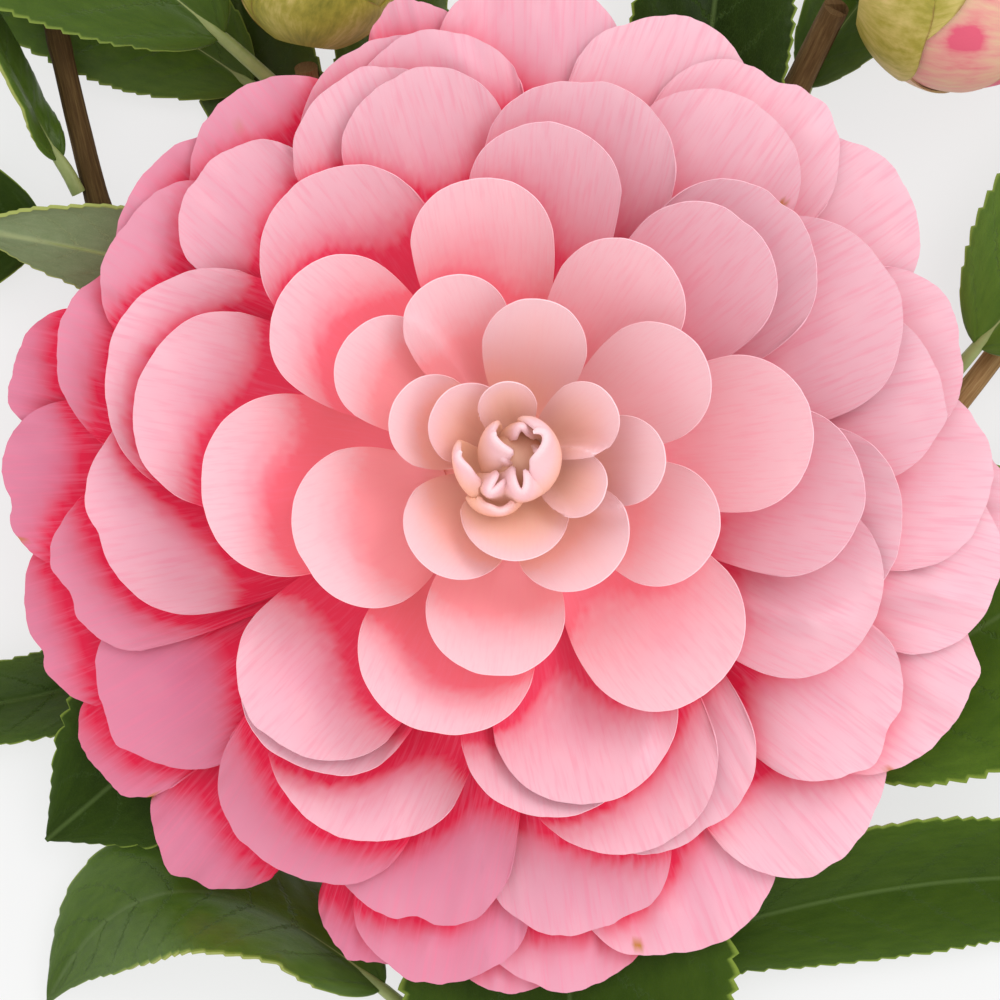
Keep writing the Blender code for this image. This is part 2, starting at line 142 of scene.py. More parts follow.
def closeTube(piece):
    # joins the seam of a rolled sheet and fills its two ends
    pickOnly(piece)
    bpy.ops.object.mode_set(mode="EDIT")
    bpy.ops.mesh.select_all(action="SELECT")
    bpy.ops.mesh.remove_doubles(threshold=weldGap * mm)
    bpy.ops.mesh.select_all(action="SELECT")
    bpy.ops.mesh.fill_holes(sides=0)
    bpy.ops.mesh.normals_make_consistent(inside=False)
    bpy.ops.object.mode_set(mode="OBJECT")


def smoothRoute(points, count, steps=16):
    # an even curve through the points
    route = np.array(points, float)
    ends = np.vstack([2 * route[0] - route[1], route, 2 * route[-1] - route[-2]])
    fine = []
    for k in range(1, len(ends) - 2):
        a, b, c, d = ends[k - 1:k + 3]
        for t in np.linspace(0, 1, steps, endpoint=False):
            fine.append(0.5 * (2 * b + (c - a) * t + (2 * a - 5 * b + 4 * c - d) * t ** 2
                               + (3 * b - a - 3 * c + d) * t ** 3))
    fine = np.array(fine + [route[-1]])
    along = np.concatenate([[0], np.cumsum(np.linalg.norm(np.diff(fine, axis=0), axis=1))])
    even = np.linspace(0, along[-1], count)
    return np.stack([np.interp(even, along, fine[:, k]) for k in range(3)], axis=1)


def ripple(seed, places, waves):
    # a smooth repeatable wobble along one number, about -1..1
    numbers = np.random.RandomState(seed)
    total = np.zeros_like(places, dtype=float)
    for k in range(3):
        pitch = waves * (0.6 + 0.5 * k) * numbers.uniform(0.8, 1.25)
        total += np.sin(places * pitch + numbers.uniform(0, 6.3)) / (1 + 0.7 * k)
    return total / 1.9


class Nodes:
    # short way to add and join shader nodes

    def __init__(self, owner, shader="Principled BSDF"):
        # owner is the name of a new material, or the world
        self.owner = bpy.data.materials.new(owner) if isinstance(owner, str) else owner
        self.owner.use_nodes = True
        self.tree = self.owner.node_tree
        self.shader = self.tree.nodes[shader]

    def add(self, kind, **settings):
        node = self.tree.nodes.new(kind)
        for key, value in settings.items():
            if hasattr(node, key):
                setattr(node, key, value)
            else:
                node.inputs[key.replace("_", " ")].default_value = value
        return node

    def join(self, outlet, inlet):
        self.tree.links.new(outlet, inlet)

    def feed(self, inlet, given):
        # given is a number, a colour or another node's outlet
        if isinstance(given, (int, float)):
            inlet.default_value = given
        elif isinstance(given, tuple):
            inlet.default_value = (*given, 1.0)
        else:
            self.join(given, inlet)

    def value(self, name):
        return self.add("ShaderNodeAttribute", attribute_name=name).outputs["Fac"]

    def ramp(self, source, stops):
        node = self.add("ShaderNodeValToRGB")
        band = node.color_ramp
        while len(band.elements) < len(stops):
            band.elements.new(0.5)
        for spot, (place, colour) in zip(band.elements, stops):
            spot.position = place
            spot.color = (*colour, 1.0)
        self.join(source, node.inputs["Fac"])
        return node.outputs["Color"]

    def mix(self, share, first, second):
        node = self.add("ShaderNodeMix", data_type="RGBA")
        for place, given in ((0, share), (6, first), (7, second)):
            self.feed(node.inputs[place], given)
        return node.outputs[2]

    def maths(self, what, first, second=0.0):
        node = self.add("ShaderNodeMath", operation=what)
        self.feed(node.inputs[0], first)
        self.feed(node.inputs[1], second)
        return node.outputs[0]

    def noise(self, vector, scale, detail=2.0, roughness=0.5, seed=None):
        # with a seed it is a flat noise, shifted for every piece
        node = self.add("ShaderNodeTexNoise", noise_dimensions="3D" if seed is None else "2D",
                        Scale=scale, Detail=detail, Roughness=roughness)
        if seed is not None:
            shift = self.add("ShaderNodeVectorMath", operation="MULTIPLY_ADD")
            self.join(seed, shift.inputs[0])
            shift.inputs[1].default_value = (7.3, 3.1, 0.0)
            self.join(vector, shift.inputs[2])
            vector = shift.outputs[0]
        self.join(vector, node.inputs["Vector"])
        return node.outputs["Fac"]

    def fibre(self, mapName, scale=(1, 1, 1)):
        # the piece's own map, stretched across and along it
        node = self.add("ShaderNodeUVMap", uv_map=mapName)
        mapping = self.add("ShaderNodeMapping", Scale=scale)
        self.join(node.outputs["UV"], mapping.inputs["Vector"])
        return mapping.outputs["Vector"]

    def places(self):
        return self.add("ShaderNodeTexCoord").outputs["Object"]

    def bump(self, height, distance, strength):
        node = self.add("ShaderNodeBump", Strength=strength, Distance=distance)
        self.join(height, node.inputs["Height"])
        return node.outputs["Normal"]

    def glow(self, colour, strength):
        # lit from within, but not counted as a lamp
        self.shader.inputs["Emission Color"].default_value = (*colour, 1)
        self.shader.inputs["Emission Strength"].default_value = strength
        self.owner.cycles.emission_sampling = "NONE"

    def finish(self, colour, roughness, sheen=0.5, relief=None):
        self.feed(self.shader.inputs["Base Color"], colour)
        self.shader.inputs["Roughness"].default_value = roughness
        self.shader.inputs["Specular IOR Level"].default_value = sheen
        if relief is not None:
            self.join(relief, self.shader.inputs["Normal"])
        return self.owner


# petal colours; the stops go by the painted edge, which is 0 at the rim
petalTint = {
    # full is for petals on the side away from the light: a paler rim, then painted shade deepening
    # toward the foot; flat is for the lit side, nearly even
    "full": [(0.0, (0.90, 0.49, 0.58)), (0.14, (0.90, 0.48, 0.58)), (0.23, (0.91, 0.47, 0.58)),
             (0.4, (0.91, 0.44, 0.57)), (0.6, (0.91, 0.32, 0.45)), (0.9, (0.86, 0.09, 0.19))],
    "flat": [(0.0, (0.87, 0.51, 0.59)), (0.08, (0.86, 0.49, 0.57)), (0.4, (0.87, 0.49, 0.57)),
             (0.85, (0.89, 0.37, 0.47))],
    "middle": [(0.0, (0.87, 0.55, 0.61)), (0.12, (0.89, 0.55, 0.61)), (0.3, (0.91, 0.55, 0.62)),
               (0.55, (0.93, 0.52, 0.60)), (0.8, (0.94, 0.40, 0.48))],
    "heart": [(0.0, (0.87, 0.60, 0.64)), (0.06, (0.87, 0.58, 0.62)), (0.16, (0.88, 0.56, 0.58)),
              (0.3, (0.91, 0.54, 0.52)), (0.5, (0.94, 0.53, 0.44))],
    # painted shade under the neighbours, by tone from the outer petals to the heart
    "shade": [(0.0, (0.85, 0.012, 0.07)), (0.2, (0.94, 0.10, 0.19)), (0.5, (0.98, 0.37, 0.42)),
              (1.0, (1.0, 0.64, 0.46))],
    # warm is a painted glow of light through the petals, deep in the bloom; the second colour darkens
    # outer petals away from the light as painted shade
    "warm": (0.98, 0.63, 0.45), "dusk": (0.79, 0.45, 0.58), "pale": (0.97, 0.60, 0.66),
    "fleck": (0.50, 0.20, 0.03), "streak": (0.88, 0.20, 0.33), "glow": (1.0, 0.56, 0.45),
    # a soft mottle of crossing waves: pitch along x, pitch along y, shift with the seed
    "mottle": [(0.9, 0.0, 1.7), (0.0, 1.05, 2.3), (0.62, -0.62, 3.1), (1.5, 0.9, 1.0)],
    "mottleShare": 0.3, "middleTone": 0.5,
    # tones, and how strongly petals of that tone are streaked
    "streakShare": ([0, 0.6], [0.30, 0.06]), "streakScale": (52, 4.5, 1),
    "roughness": 0.6, "sheen": 0.22,
}


def stopsAt(values, stops):
    places, colours = zip(*stops)
    return np.stack([np.interp(values, places, band) for band in zip(*colours)], axis=1)


def blend(share, first, second):
    return first + (np.asarray(second) - first) * np.asarray(share)[:, None]


def tintPetal(piece, under, mark):
    # every point's colour, worked out from what was painted on it; alpha holds the streaks
    looks = ("edge", "tone", "rich", "dusk", "warm", "seed")
    edge, tone, rich, dusk, warm, seed = (readPaint(piece, name) for name in looks)
    x, y, _ = (readPoints(piece) / mm).T
    # painted shade: petals on the lit side of the bloom take flat, those on the side away from the
    # light take full
    colour = blend(rich, stopsAt(edge, petalTint["flat"]), stopsAt(edge, petalTint["full"]))
    waves = [np.sin(a * x + b * y + c * seed) for a, b, c in petalTint["mottle"]]
    mottle = unit(sum(waves) / len(waves))
    colour = blend(petalTint["mottleShare"] * mottle, colour, petalTint["pale"])
    inward = tone / petalTint["middleTone"]
    colour = blend(unit(inward), colour, stopsAt(edge, petalTint["middle"]))
    colour = blend(unit(inward - 1), colour, stopsAt(edge, petalTint["heart"]))
    # painted shade darkens the outer petals on the side away from the light
    colour = blend(dusk, colour, colour * petalTint["dusk"])
    # painted shade where the petal lies under its neighbours
    colour = blend(under, colour, stopsAt(tone, petalTint["shade"]))
    # painted warm glow deep in the bloom, from light that comes through the petals
    colour = blend(warm, colour, petalTint["warm"])
    colour = blend(unit(2 * mark - 0.7), colour, petalTint["fleck"])
    streaks = np.interp(tone, *petalTint["streakShare"])
    layer = piece.data.attributes.new("petalTint", "FLOAT_COLOR", "POINT")
    layer.data.foreach_set("color", np.column_stack([colour, streaks]).astype(np.float32).ravel())
    for name in looks[:-1]:   # the streaks still need the seed
        piece.data.attributes.remove(piece.data.attributes[name])


def petalFinish(name, glow):
    n = Nodes(name)
    tint = n.add("ShaderNodeAttribute", attribute_name="petalTint")
    fibre = n.fibre("petalMap", petalTint["streakScale"])
    streaks = n.ramp(n.noise(fibre, 1.0, 2.0, 0.7, n.value("seed")), [(0.47, black), (0.72, white)])
    thin = n.maths("MULTIPLY", streaks, tint.outputs["Alpha"])
    # painted glow: the petals emit a little light of their own, standing in for light that comes
    # through them
    n.glow(petalTint["glow"], glow)   # light that comes through the thin petals
    colour = n.mix(thin, tint.outputs["Color"], petalTint["streak"])
    return n.finish(colour, petalTint["roughness"], petalTint["sheen"])


petal = {
    "rows": 34, "columns": 60, "thickness": 0.42, "gap": 0.72,
    # how a petal changes with its reach from the axis, mm and degrees
    "reach": [8, 12, 17, 23, 30, 37, 41, 44, 47, 50, 53, 56],
    "tipHeight": [33.5, 34.8, 35, 33.3, 30, 24, 19.6, 16.2, 12.4, 8.5, 4.4, 0.8],
    "footRadius": [1.6, 2.6, 4, 7, 9, 10, 9.6, 9, 8, 7, 6.5, 6],
    "footRise": [60, 52, 44, 35, 28, 20, 19, 19, 18, 17, 14, 10],
    "tipRise": [66, 66, 63, 57, 48, 37, 26, 16, 6, -4, -12, -18],
    "cup": [0.4, 0.38, 0.36, 0.34, 0.32, 0.24, 0.17, 0.1, 0.04, -0.03, -0.08, -0.12],
    "ruffle": [0.05, 0.08, 0.1, 0.15, 0.25, 0.4, 0.55, 0.7, 0.85, 1.0, 1.1, 1.2],
    "capRoundness": 0.9, "baseShare": 0.3, "lengthEase": 0.85, "cupEase": 0.7,
    # waves along the rim: seed step and how many; then how much each counts
    "rimWaves": [(0, 3.2), (1, 10.0), (5, 26.0)],
    "wave": 0.65, "notchedWave": 0.3, "notch": 0.12, "frill": 0.09, "setBack": 0.2, "atSides": 0.3,
    "cleft": 0.9, "cleftPlace": 0.15, "cleftWidth": 0.03, "sideWave": 0.3,
    "ruffleRise": 0.85, "crease": 0.25, "creaseWidth": 0.16, "steepest": 2.3,
    "rimBody": 3.0, "rimThickness": 0.3,
}

# how the paint spreads: sides of the bloom in degrees, distances in mm
petalPaint = {
    "edgeReach": 20, "litSide": 40, "richLeast": 0.05, "richEase": 1.6,
    "warmMost": 0.8, "warmRadius": 10.0, "warmFade": 7, "warmRim": 2.2,
    "outerLitSide": 10, "duskReach": 44, "duskFade": 7, "duskGain": 2.2, "duskStart": 0.6,
    "seeds": 97,
}

# bearing, reach and width of every petal, ring by ring
petalRings = [
    [(100, 8.4, 6.2), (32, 12, 8), (338, 10, 7), (268, 10.6, 11.5)],
    [(143, 10.4, 9), (155, 14.3, 10), (228, 14.7, 11.8), (306, 15.5, 12.5),
     (0, 15.6, 9.5), (81, 17.1, 11)],
    [(114, 20.8, 11.3), (145, 22, 11.6), (30, 22.5, 12.9), (336, 22.6, 13.2),
     (262, 22.8, 14.7), (204, 25, 17.3)],
    [(57, 26.2, 14.2), (99, 30, 15), (250, 30.1, 18.8), (143, 30.4, 15.8),
     (7, 31.3, 16.5), (311, 31.6, 18.3), (186, 33.5, 19.3)],
    [(45, 34.7, 16.5), (84, 35.5, 16), (353.5, 36.5, 17.5), (285, 36.7, 19.5),
     (129, 36.9, 19), (278, 37.6, 19.5), (228, 38.9, 19), (42, 39.2, 19),
     (230.5, 39.9, 19.2), (170, 40.9, 20.5), (78, 41.1, 20.5), (336, 41.4, 19.5),
     (348.5, 41.5, 20.2)],
    [(106, 42.5, 17.5), (289, 42.9, 20.8), (242.5, 43.6, 21.8), (26.5, 43.8, 21.5),
     (113.5, 44.2, 18.5), (165.5, 44.2, 24), (295, 44.3, 21.3), (187.5, 45.3, 23),
     (11, 45.5, 19), (56, 45.5, 19), (137, 45.5, 16.5), (102.5, 46.5, 18.5),
     (110, 46.8, 20)],
    [(150, 48.6, 20), (16, 48.8, 19), (322.5, 48.8, 19), (128, 48.8, 20),
     (143, 49.5, 22), (54, 49.8, 20.5), (164, 49.8, 20), (195, 50, 18),
     (68, 50, 20), (358, 50, 20), (239, 50, 22), (256, 50.2, 19),
     (37, 50.3, 21), (279, 50.4, 20), (213, 50.8, 19.5), (88, 51.6, 20)],
    [(346, 52.4, 19), (329.5, 53.9, 21), (311, 54, 20), (183, 54.5, 18),
     (200, 55, 21), (291.5, 55.4, 22), (260.5, 55.6, 18), (276.5, 55.8, 20),
     (103.5, 49.4, 10), (353, 52.3, 16), (169, 54.3, 13.5), (253, 55, 13),
     (215.5, 55.3, 14), (230.5, 56, 16), (270, 56.2, 16)],
]
ringScale = [0.95, 0.955, 0.96, 0.967, 0.98, 0.992, 1.004, 1.012]
ringTone = [0.92, 0.72, 0.46, 0.24, 0.1, 0.03, 0.0, 0.0]


class Ground:
    # height of what is already laid, seen from above, mm

    half, step = 62.0, 0.3
    bare = -99.0

    def __init__(self):
        self.count = int(2 * self.half / self.step) + 1
        self.top = np.full((self.count, self.count), self.bare)

    def cells(self, x, y):
        i = np.clip(np.round((x + self.half) / self.step).astype(int), 1, self.count - 2)
        j = np.clip(np.round((y + self.half) / self.step).astype(int), 1, self.count - 2)
        return i, j

    def under(self, x, y):
        i, j = self.cells(x, y)
        found = self.top[i, j]
        for di in (-1, 0, 1):
            for dj in (-1, 0, 1):
                found = np.maximum(found, self.top[i + di, j + dj])
        return found

    def lay(self, x, y, z):
        x, y, z = (finer(k, 4) for k in (x, y, z))
        np.maximum.at(self.top, self.cells(x, y), z)


def finer(values, times):
    rows, columns = values.shape
    r = np.linspace(0, rows - 1, (rows - 1) * times + 1)
    c = np.linspace(0, columns - 1, (columns - 1) * times + 1)
    wide = np.stack([np.interp(c, np.arange(columns), row) for row in values])
    return np.stack([np.interp(r, np.arange(rows), col) for col in wide.T], axis=1)


def softened(lift):
    p = np.pad(lift, 1, mode="edge")
    return (p[:-2, 1:-1] + p[2:, 1:-1] + p[1:-1, :-2] + p[1:-1, 2:] + 4 * p[1:-1, 1:-1]) / 8


def spreadLift(need, rounds=40):
    # smallest smooth lift that still clears everything
    lift = need.copy()
    for _ in range(rounds):
        lift = np.maximum(need, softened(lift))
    return np.maximum(lift, softened(lift))


def rimDistance(points, rows, columns):
    # the foot isn't part of the rim
    grid = points.reshape(rows, columns, 3)
    rim = np.concatenate([grid[3:, 0], grid[-1], grid[3:, -1]])
    gaps = np.linalg.norm(points[:, None, :] - rim[None, :, :], axis=2)
    return gaps.min(axis=1)


def petalOutline(look, reach, width, turn, share, seed):
    # how far out every point lies and how far to the side
    foot = look["footRadius"]
    cap = petal["capRoundness"] * width / 2
    rimShare = share ** 5
    wave, notch, frill = (ripple(seed + step, turn, waves) for step, waves in petal["rimWaves"])
    end = reach - cap + cap * np.cos(turn)
    cleft = petal["cleft"] * look["ruffle"] * max(0.0, math.sin(seed * 1.7))
    cleft = cleft * np.exp(-(turn - petal["cleftPlace"]) ** 2 / petal["cleftWidth"])
    end = end - rimShare * cleft
    jagged = (petal["wave"] * wave + petal["notchedWave"] * notch * wave
              + petal["notch"] * notch + petal["frill"] * frill - petal["setBack"])
    middle = petal["atSides"] + (1 - petal["atSides"]) * np.cos(turn)
    end = end + rimShare * look["ruffle"] * jagged * middle
    out = foot + (end - foot) * share
    spread = petal["baseShare"] + (1 - petal["baseShare"]) * np.sin(share * math.pi / 2) ** 0.9
    sway = ripple(seed + 2, share, 9.0) * look["ruffle"] * petal["sideWave"]
    sway = sway * np.abs(np.sin(turn)) ** 3
    return out, (np.sin(turn) * width / 2) * spread + np.sign(turn) * sway * share ** 3


def petalShape(bearing, reach, width, across, along, seed):
    look = {k: np.interp(reach, petal["reach"], petal[k])
            for k in ("tipHeight", "footRadius", "footRise", "tipRise", "cup", "ruffle")}
    turn = across * math.pi / 2
    share = along ** petal["lengthEase"]
    out, sideways = petalOutline(look, reach, width, turn, share, seed)
    rise = math.tan(math.radians(look["footRise"]))
    tipRise = math.tan(math.radians(look["tipRise"]))
    length = reach - look["footRadius"]
    run = (out - look["footRadius"]) / length
    height = look["tipHeight"] - length * (rise + tipRise) / 2
    height = height + length * (rise * run + (tipRise - rise) * run ** 2 / 2)
    height = height + look["cup"] * width / 2 * np.sin(turn) ** 2 * share ** petal["cupEase"]
    ruffle = ripple(seed + 3, turn, 4.2) + 0.4 * ripple(seed + 4, turn, 11.0)
    height = height + look["ruffle"] * petal["ruffleRise"] * ruffle * share ** 4
    crease = -petal["crease"] * np.exp(-(np.sin(turn) / petal["creaseWidth"]) ** 2)
    crease = crease * share * (1 - share ** 3)
    steep = np.minimum(np.hypot(1, rise + (tipRise - rise) * run), petal["steepest"])
    c, s = math.cos(math.radians(bearing)), math.sin(math.radians(bearing))
    return out * c - sideways * s, out * s + sideways * c, height + crease, steep


def awayFrom(side, bearing):
    # 0 for a petal on that side of the bloom, 1 for one opposite it
    return 0.5 - 0.5 * math.cos(math.radians(bearing - side))


def makePetal(name, spec, scale, tone, ground, material):
    bearing, reach, width = spec
    seed = int(bearing * 7 + reach * 13)
    piece, across, along = addSheet(name, petal["columns"], petal["rows"], "petalMap")
    shape = (petal["rows"] + 1, petal["columns"] + 1)
    bent = petalShape(bearing, reach * scale, width * scale, across, along, seed)
    x, y, z, steep = (k.reshape(shape) for k in bent)
    below = ground.under(x, y)
    need = below + (petal["gap"] + petal["thickness"]) * steep - z
    need = np.where(below == ground.bare, 0.0, np.maximum(need, 0.0))
    z = z + spreadLift(need)
    ground.lay(x, y, z)
    points = np.stack([x, y, z], axis=2).reshape(-1, 3)
    far = rimDistance(points, *shape)
    near = np.hypot(points[:, 0], points[:, 1])
    movePoints(piece, points + np.array([0, 0, bloomLift]))
    look = petalPaint
    # painted shade: the farther a petal lies from the light's side, the more it takes the deeper
    # colours
    rich = awayFrom(look["litSide"], bearing) ** look["richEase"]
    # painted warm glow near the axis, where light comes through the petals; the rims stay pale
    warm = look["warmMost"] * unit((look["warmRadius"] - near) / look["warmFade"])
    # painted shade on the outermost petals, on the side away from the light
    outerShadeSide = look["duskGain"] * awayFrom(look["outerLitSide"], bearing) - look["duskStart"]
    dusk = unit((reach - look["duskReach"]) / look["duskFade"])
    paint(piece, edge=unit(far / look["edgeReach"]), tone=tone,
          rich=look["richLeast"] + (1 - look["richLeast"]) * rich,
          warm=warm * unit(far / look["warmRim"]),
          dusk=dusk * unit(outerShadeSide), seed=seed % look["seeds"])
    thicken(piece, petal["thickness"], -1.0, unit(far / petal["rimBody"]),
            petal["rimThickness"])
    settle(piece, 60, "bloom", material)
    return piece


heart = {
    "rows": 40, "columns": 44, "thickness": 0.95, "footRadius": 1.2,
    "fan": 0.35, "drop": 0.26, "tipWidth": 0.4, "closeFrom": 0.42, "closeRun": 0.58,
    "edgeReach": 22, "warmHeight": 34.0, "warmFade": 5, "rimBody": 1.3, "rimThickness": 0.35,
    # small fleshy petals, each growing from the core, swelling and closing in:
    # middle x and y, radius, bearing, half spread, foot, tip, peak to one side, how far it closes
    "table": [
        (-2.2, -1.8, 3.5, 268, 52, 20.6, 33.2, 0.2, 0.8),
        (-1.4, 0.2, 4.8, 200, 40, 20.6, 35.6, -0.8, 1.4),
        (0.4, 1.0, 2.5, 88, 58, 20.6, 34.6, 0.0, 1.0),
        (-0.8, -0.6, 3.5, 233, 38, 20.6, 35.6, 0.0, 2.2),
        (-0.1, 0.8, 3.6, 178, 56, 20.6, 37.2, -0.9, 3.2),
        (0.2, -0.3, 3.6, 262, 64, 20.6, 36.4, 0.3, 2.8),
        (0.2, 0.2, 4.1, 355, 88, 20.6, 37.9, 0.75, 2.7),
        (-0.2, 0.6, 1.5, 190, 85, 21.6, 34.6, 0.0, 0.9),
        (1.2, 0.4, 1.3, 10, 85, 21.6, 34.2, 0.0, 0.6),
    ],
}


def makeHeartPetal(number, spec, material):
    x, y, radius, bearing, spread, foot, tip, peak, close = spec
    piece, across, along = addSheet(f"heartPetal{number}", heart["columns"], heart["rows"], "petalMap")
    fan = 0.75 + heart["fan"] * np.sin(unit(along * 1.15) * math.pi) ** 0.8
    turn = np.radians(bearing + across * spread * fan)
    lean = np.abs(across - peak) / (1 + abs(peak))
    top = foot + (tip - foot) * (1 - heart["drop"] * lean ** 2.2)
    top = top + 0.2 * ripple(number, across * 3, 1.6)
    height = foot + (top - foot) * along ** 0.9
    opening = np.sin(unit(along * 1.7) * math.pi / 2)
    reach = heart["footRadius"] + (radius - heart["footRadius"]) * opening
    tipShare = np.exp(-((across - peak) / heart["tipWidth"]) ** 2)
    shut = close * (1 - 0.75 * tipShare) + 0.3 * ripple(number + 9, across * 3, 1.4)
    late = unit((along - heart["closeFrom"]) / heart["closeRun"])
    reach = reach - shut * late ** 1.7
    points = np.stack([x * opening + reach * np.cos(turn), y * opening + reach * np.sin(turn),
                       height], axis=1)
    far = rimDistance(points, heart["rows"] + 1, heart["columns"] + 1)
    movePoints(piece, points + np.array([0, 0, bloomLift]))
    # painted warm glow low in the heart, where light comes through the petals
    warm = unit((heart["warmHeight"] - height) / heart["warmFade"])
    paint(piece, edge=unit(far / heart["edgeReach"]), tone=1.0, rich=0.5,
          seed=number * 3.7, warm=warm, dusk=0.0)
    body = unit(far / heart["rimBody"]) ** 0.5
    thicken(piece, heart["thickness"], 0.0, body, heart["rimThickness"])
    nothing = np.zeros(len(piece.data.vertices))
    tintPetal(piece, nothing, nothing)
    settle(piece, 70, "bloom", material)


bloomCore = {
    "rows": 39, "columns": 40,
    # radius and height, from the foot up
    "profile": [(0.3, 1.6), (7.0, 2.0), (12.5, 4.5), (15.0, 8.0), (13.6, 11.0), (10.5, 13.6),
                (7.6, 15.6), (5.0, 17.8), (3.4, 20.0), (3.0, 23.0), (3.0, 28.0), (2.3, 31.0),
                (0.3, 32.2)],
    "toneHeight": 15, "toneFade": 12,
}


def makeCore(material):
    # the solid middle that every petal grows from
    rows = bloomCore["rows"]
    route = smoothRoute([(r, h, 0) for r, h in bloomCore["profile"]], rows + 1)
    piece, across, along = addSheet("bloomCore", bloomCore["columns"], rows, "petalMap")
    row = np.clip(np.round(along * rows).astype(int), 0, rows)
    reach, height = route[row, 0], route[row, 1]
    turn = math.pi * across
    points = np.stack([reach * np.cos(turn), reach * np.sin(turn), height + bloomLift], axis=1)
    movePoints(piece, points)
    closeTube(piece)
    high = readPoints(piece)[:, 2] / mm - bloomLift
    tone = unit((high - bloomCore["toneHeight"]) / bloomCore["toneFade"])
    # painted shade over the whole core, which lies under the petals, and a painted warm glow
    paint(piece, edge=0.8, tone=tone, rich=1.0, dusk=0.0, warm=0.6, seed=5.0)
    tintPetal(piece, np.ones_like(high), np.zeros_like(high))
    settle(piece, 60, "bloom", material)


# brown flecks on a few rims: x and y from the bloom's axis, size
flecks = [(-28.9, 34.9, 0.5), (27.8, 26.9, 0.5), (-52.6, -8.0, 0.5), (-38.8, -35.6, 0.5),
          (13.0, -51.4, 0.6), (39.7, -32.8, 0.4)]

gapShade = {
    # circles looked at round every point: radius in mm and how many places on it
    "rounds": [(1.4, 10), (2.8, 14), (4.4, 18), (6.2, 22)],
    # a neighbour counts once it is this much higher, and higher still farther off
    "clearance": 0.5, "slope": 0.25, "fade": 0.5, "depth": 3.5, "ease": 2.0,
    # deeper on the side away from the light
    "lightSide": 30, "lee": 0.62, "lightShare": 0.38,
}


def finishPetals(pieces, ground):
    # painted shade where a petal runs in under its neighbours, deeper on the side away from the light;
    # and the flecks
    spots = [(r * math.cos(k * 2 * math.pi / n), r * math.sin(k * 2 * math.pi / n), r)
             for r, n in gapShade["rounds"] for k in range(n)]
    for piece in pieces:
        x, y, z = (readPoints(piece) / mm - bloomAxis).T
        z = z - bloomLift
        shade = np.zeros_like(x)
        weight = 0.0
        for dx, dy, r in spots:
            over = ground.top[ground.cells(x + dx, y + dy)] - z - gapShade["clearance"]
            over = (over - gapShade["slope"] * r) / (1.0 + gapShade["fade"] * r)
            shade += unit(over) / math.sqrt(r)
            weight += 1 / math.sqrt(r)
        away = np.cos(np.arctan2(y, x) - math.radians(gapShade["lightSide"]))
        lee = gapShade["lee"] - gapShade["lightShare"] * away
        shade = unit(gapShade["depth"] * lee * shade / weight) ** gapShade["ease"]
        mark = np.zeros_like(x)
        for fx, fy, size in flecks:
            mark = np.maximum(mark, 1.3 * np.exp(-((x - fx) ** 2 + (y - fy) ** 2) / size ** 2))
        tintPetal(piece, shade, mark)


def makeBloom():
    outer = petalFinish("petalSkin", 0.0)
    inner = petalFinish("heartSkin", 0.088)
    ground = Ground()
    pieces = []
    rings = list(zip(petalRings, ringScale, ringTone))
    # the lowest petal is laid first
    for ring, scale, tone in rings[::-1]:
        skin = inner if tone > 0.2 else outer
        for spec in ring[::-1]:
            pieces.append(makePetal(f"petal{len(pieces):02d}", spec, scale, tone, ground, skin))
    finishPetals(pieces, ground)
    for number, spec in enumerate(heart["table"]):
        makeHeartPetal(number, spec, inner)
    makeCore(outer)
    print("bloom:", len(pieces), "petals, highest", round(float(ground.top.max()), 1))


makeBloom()


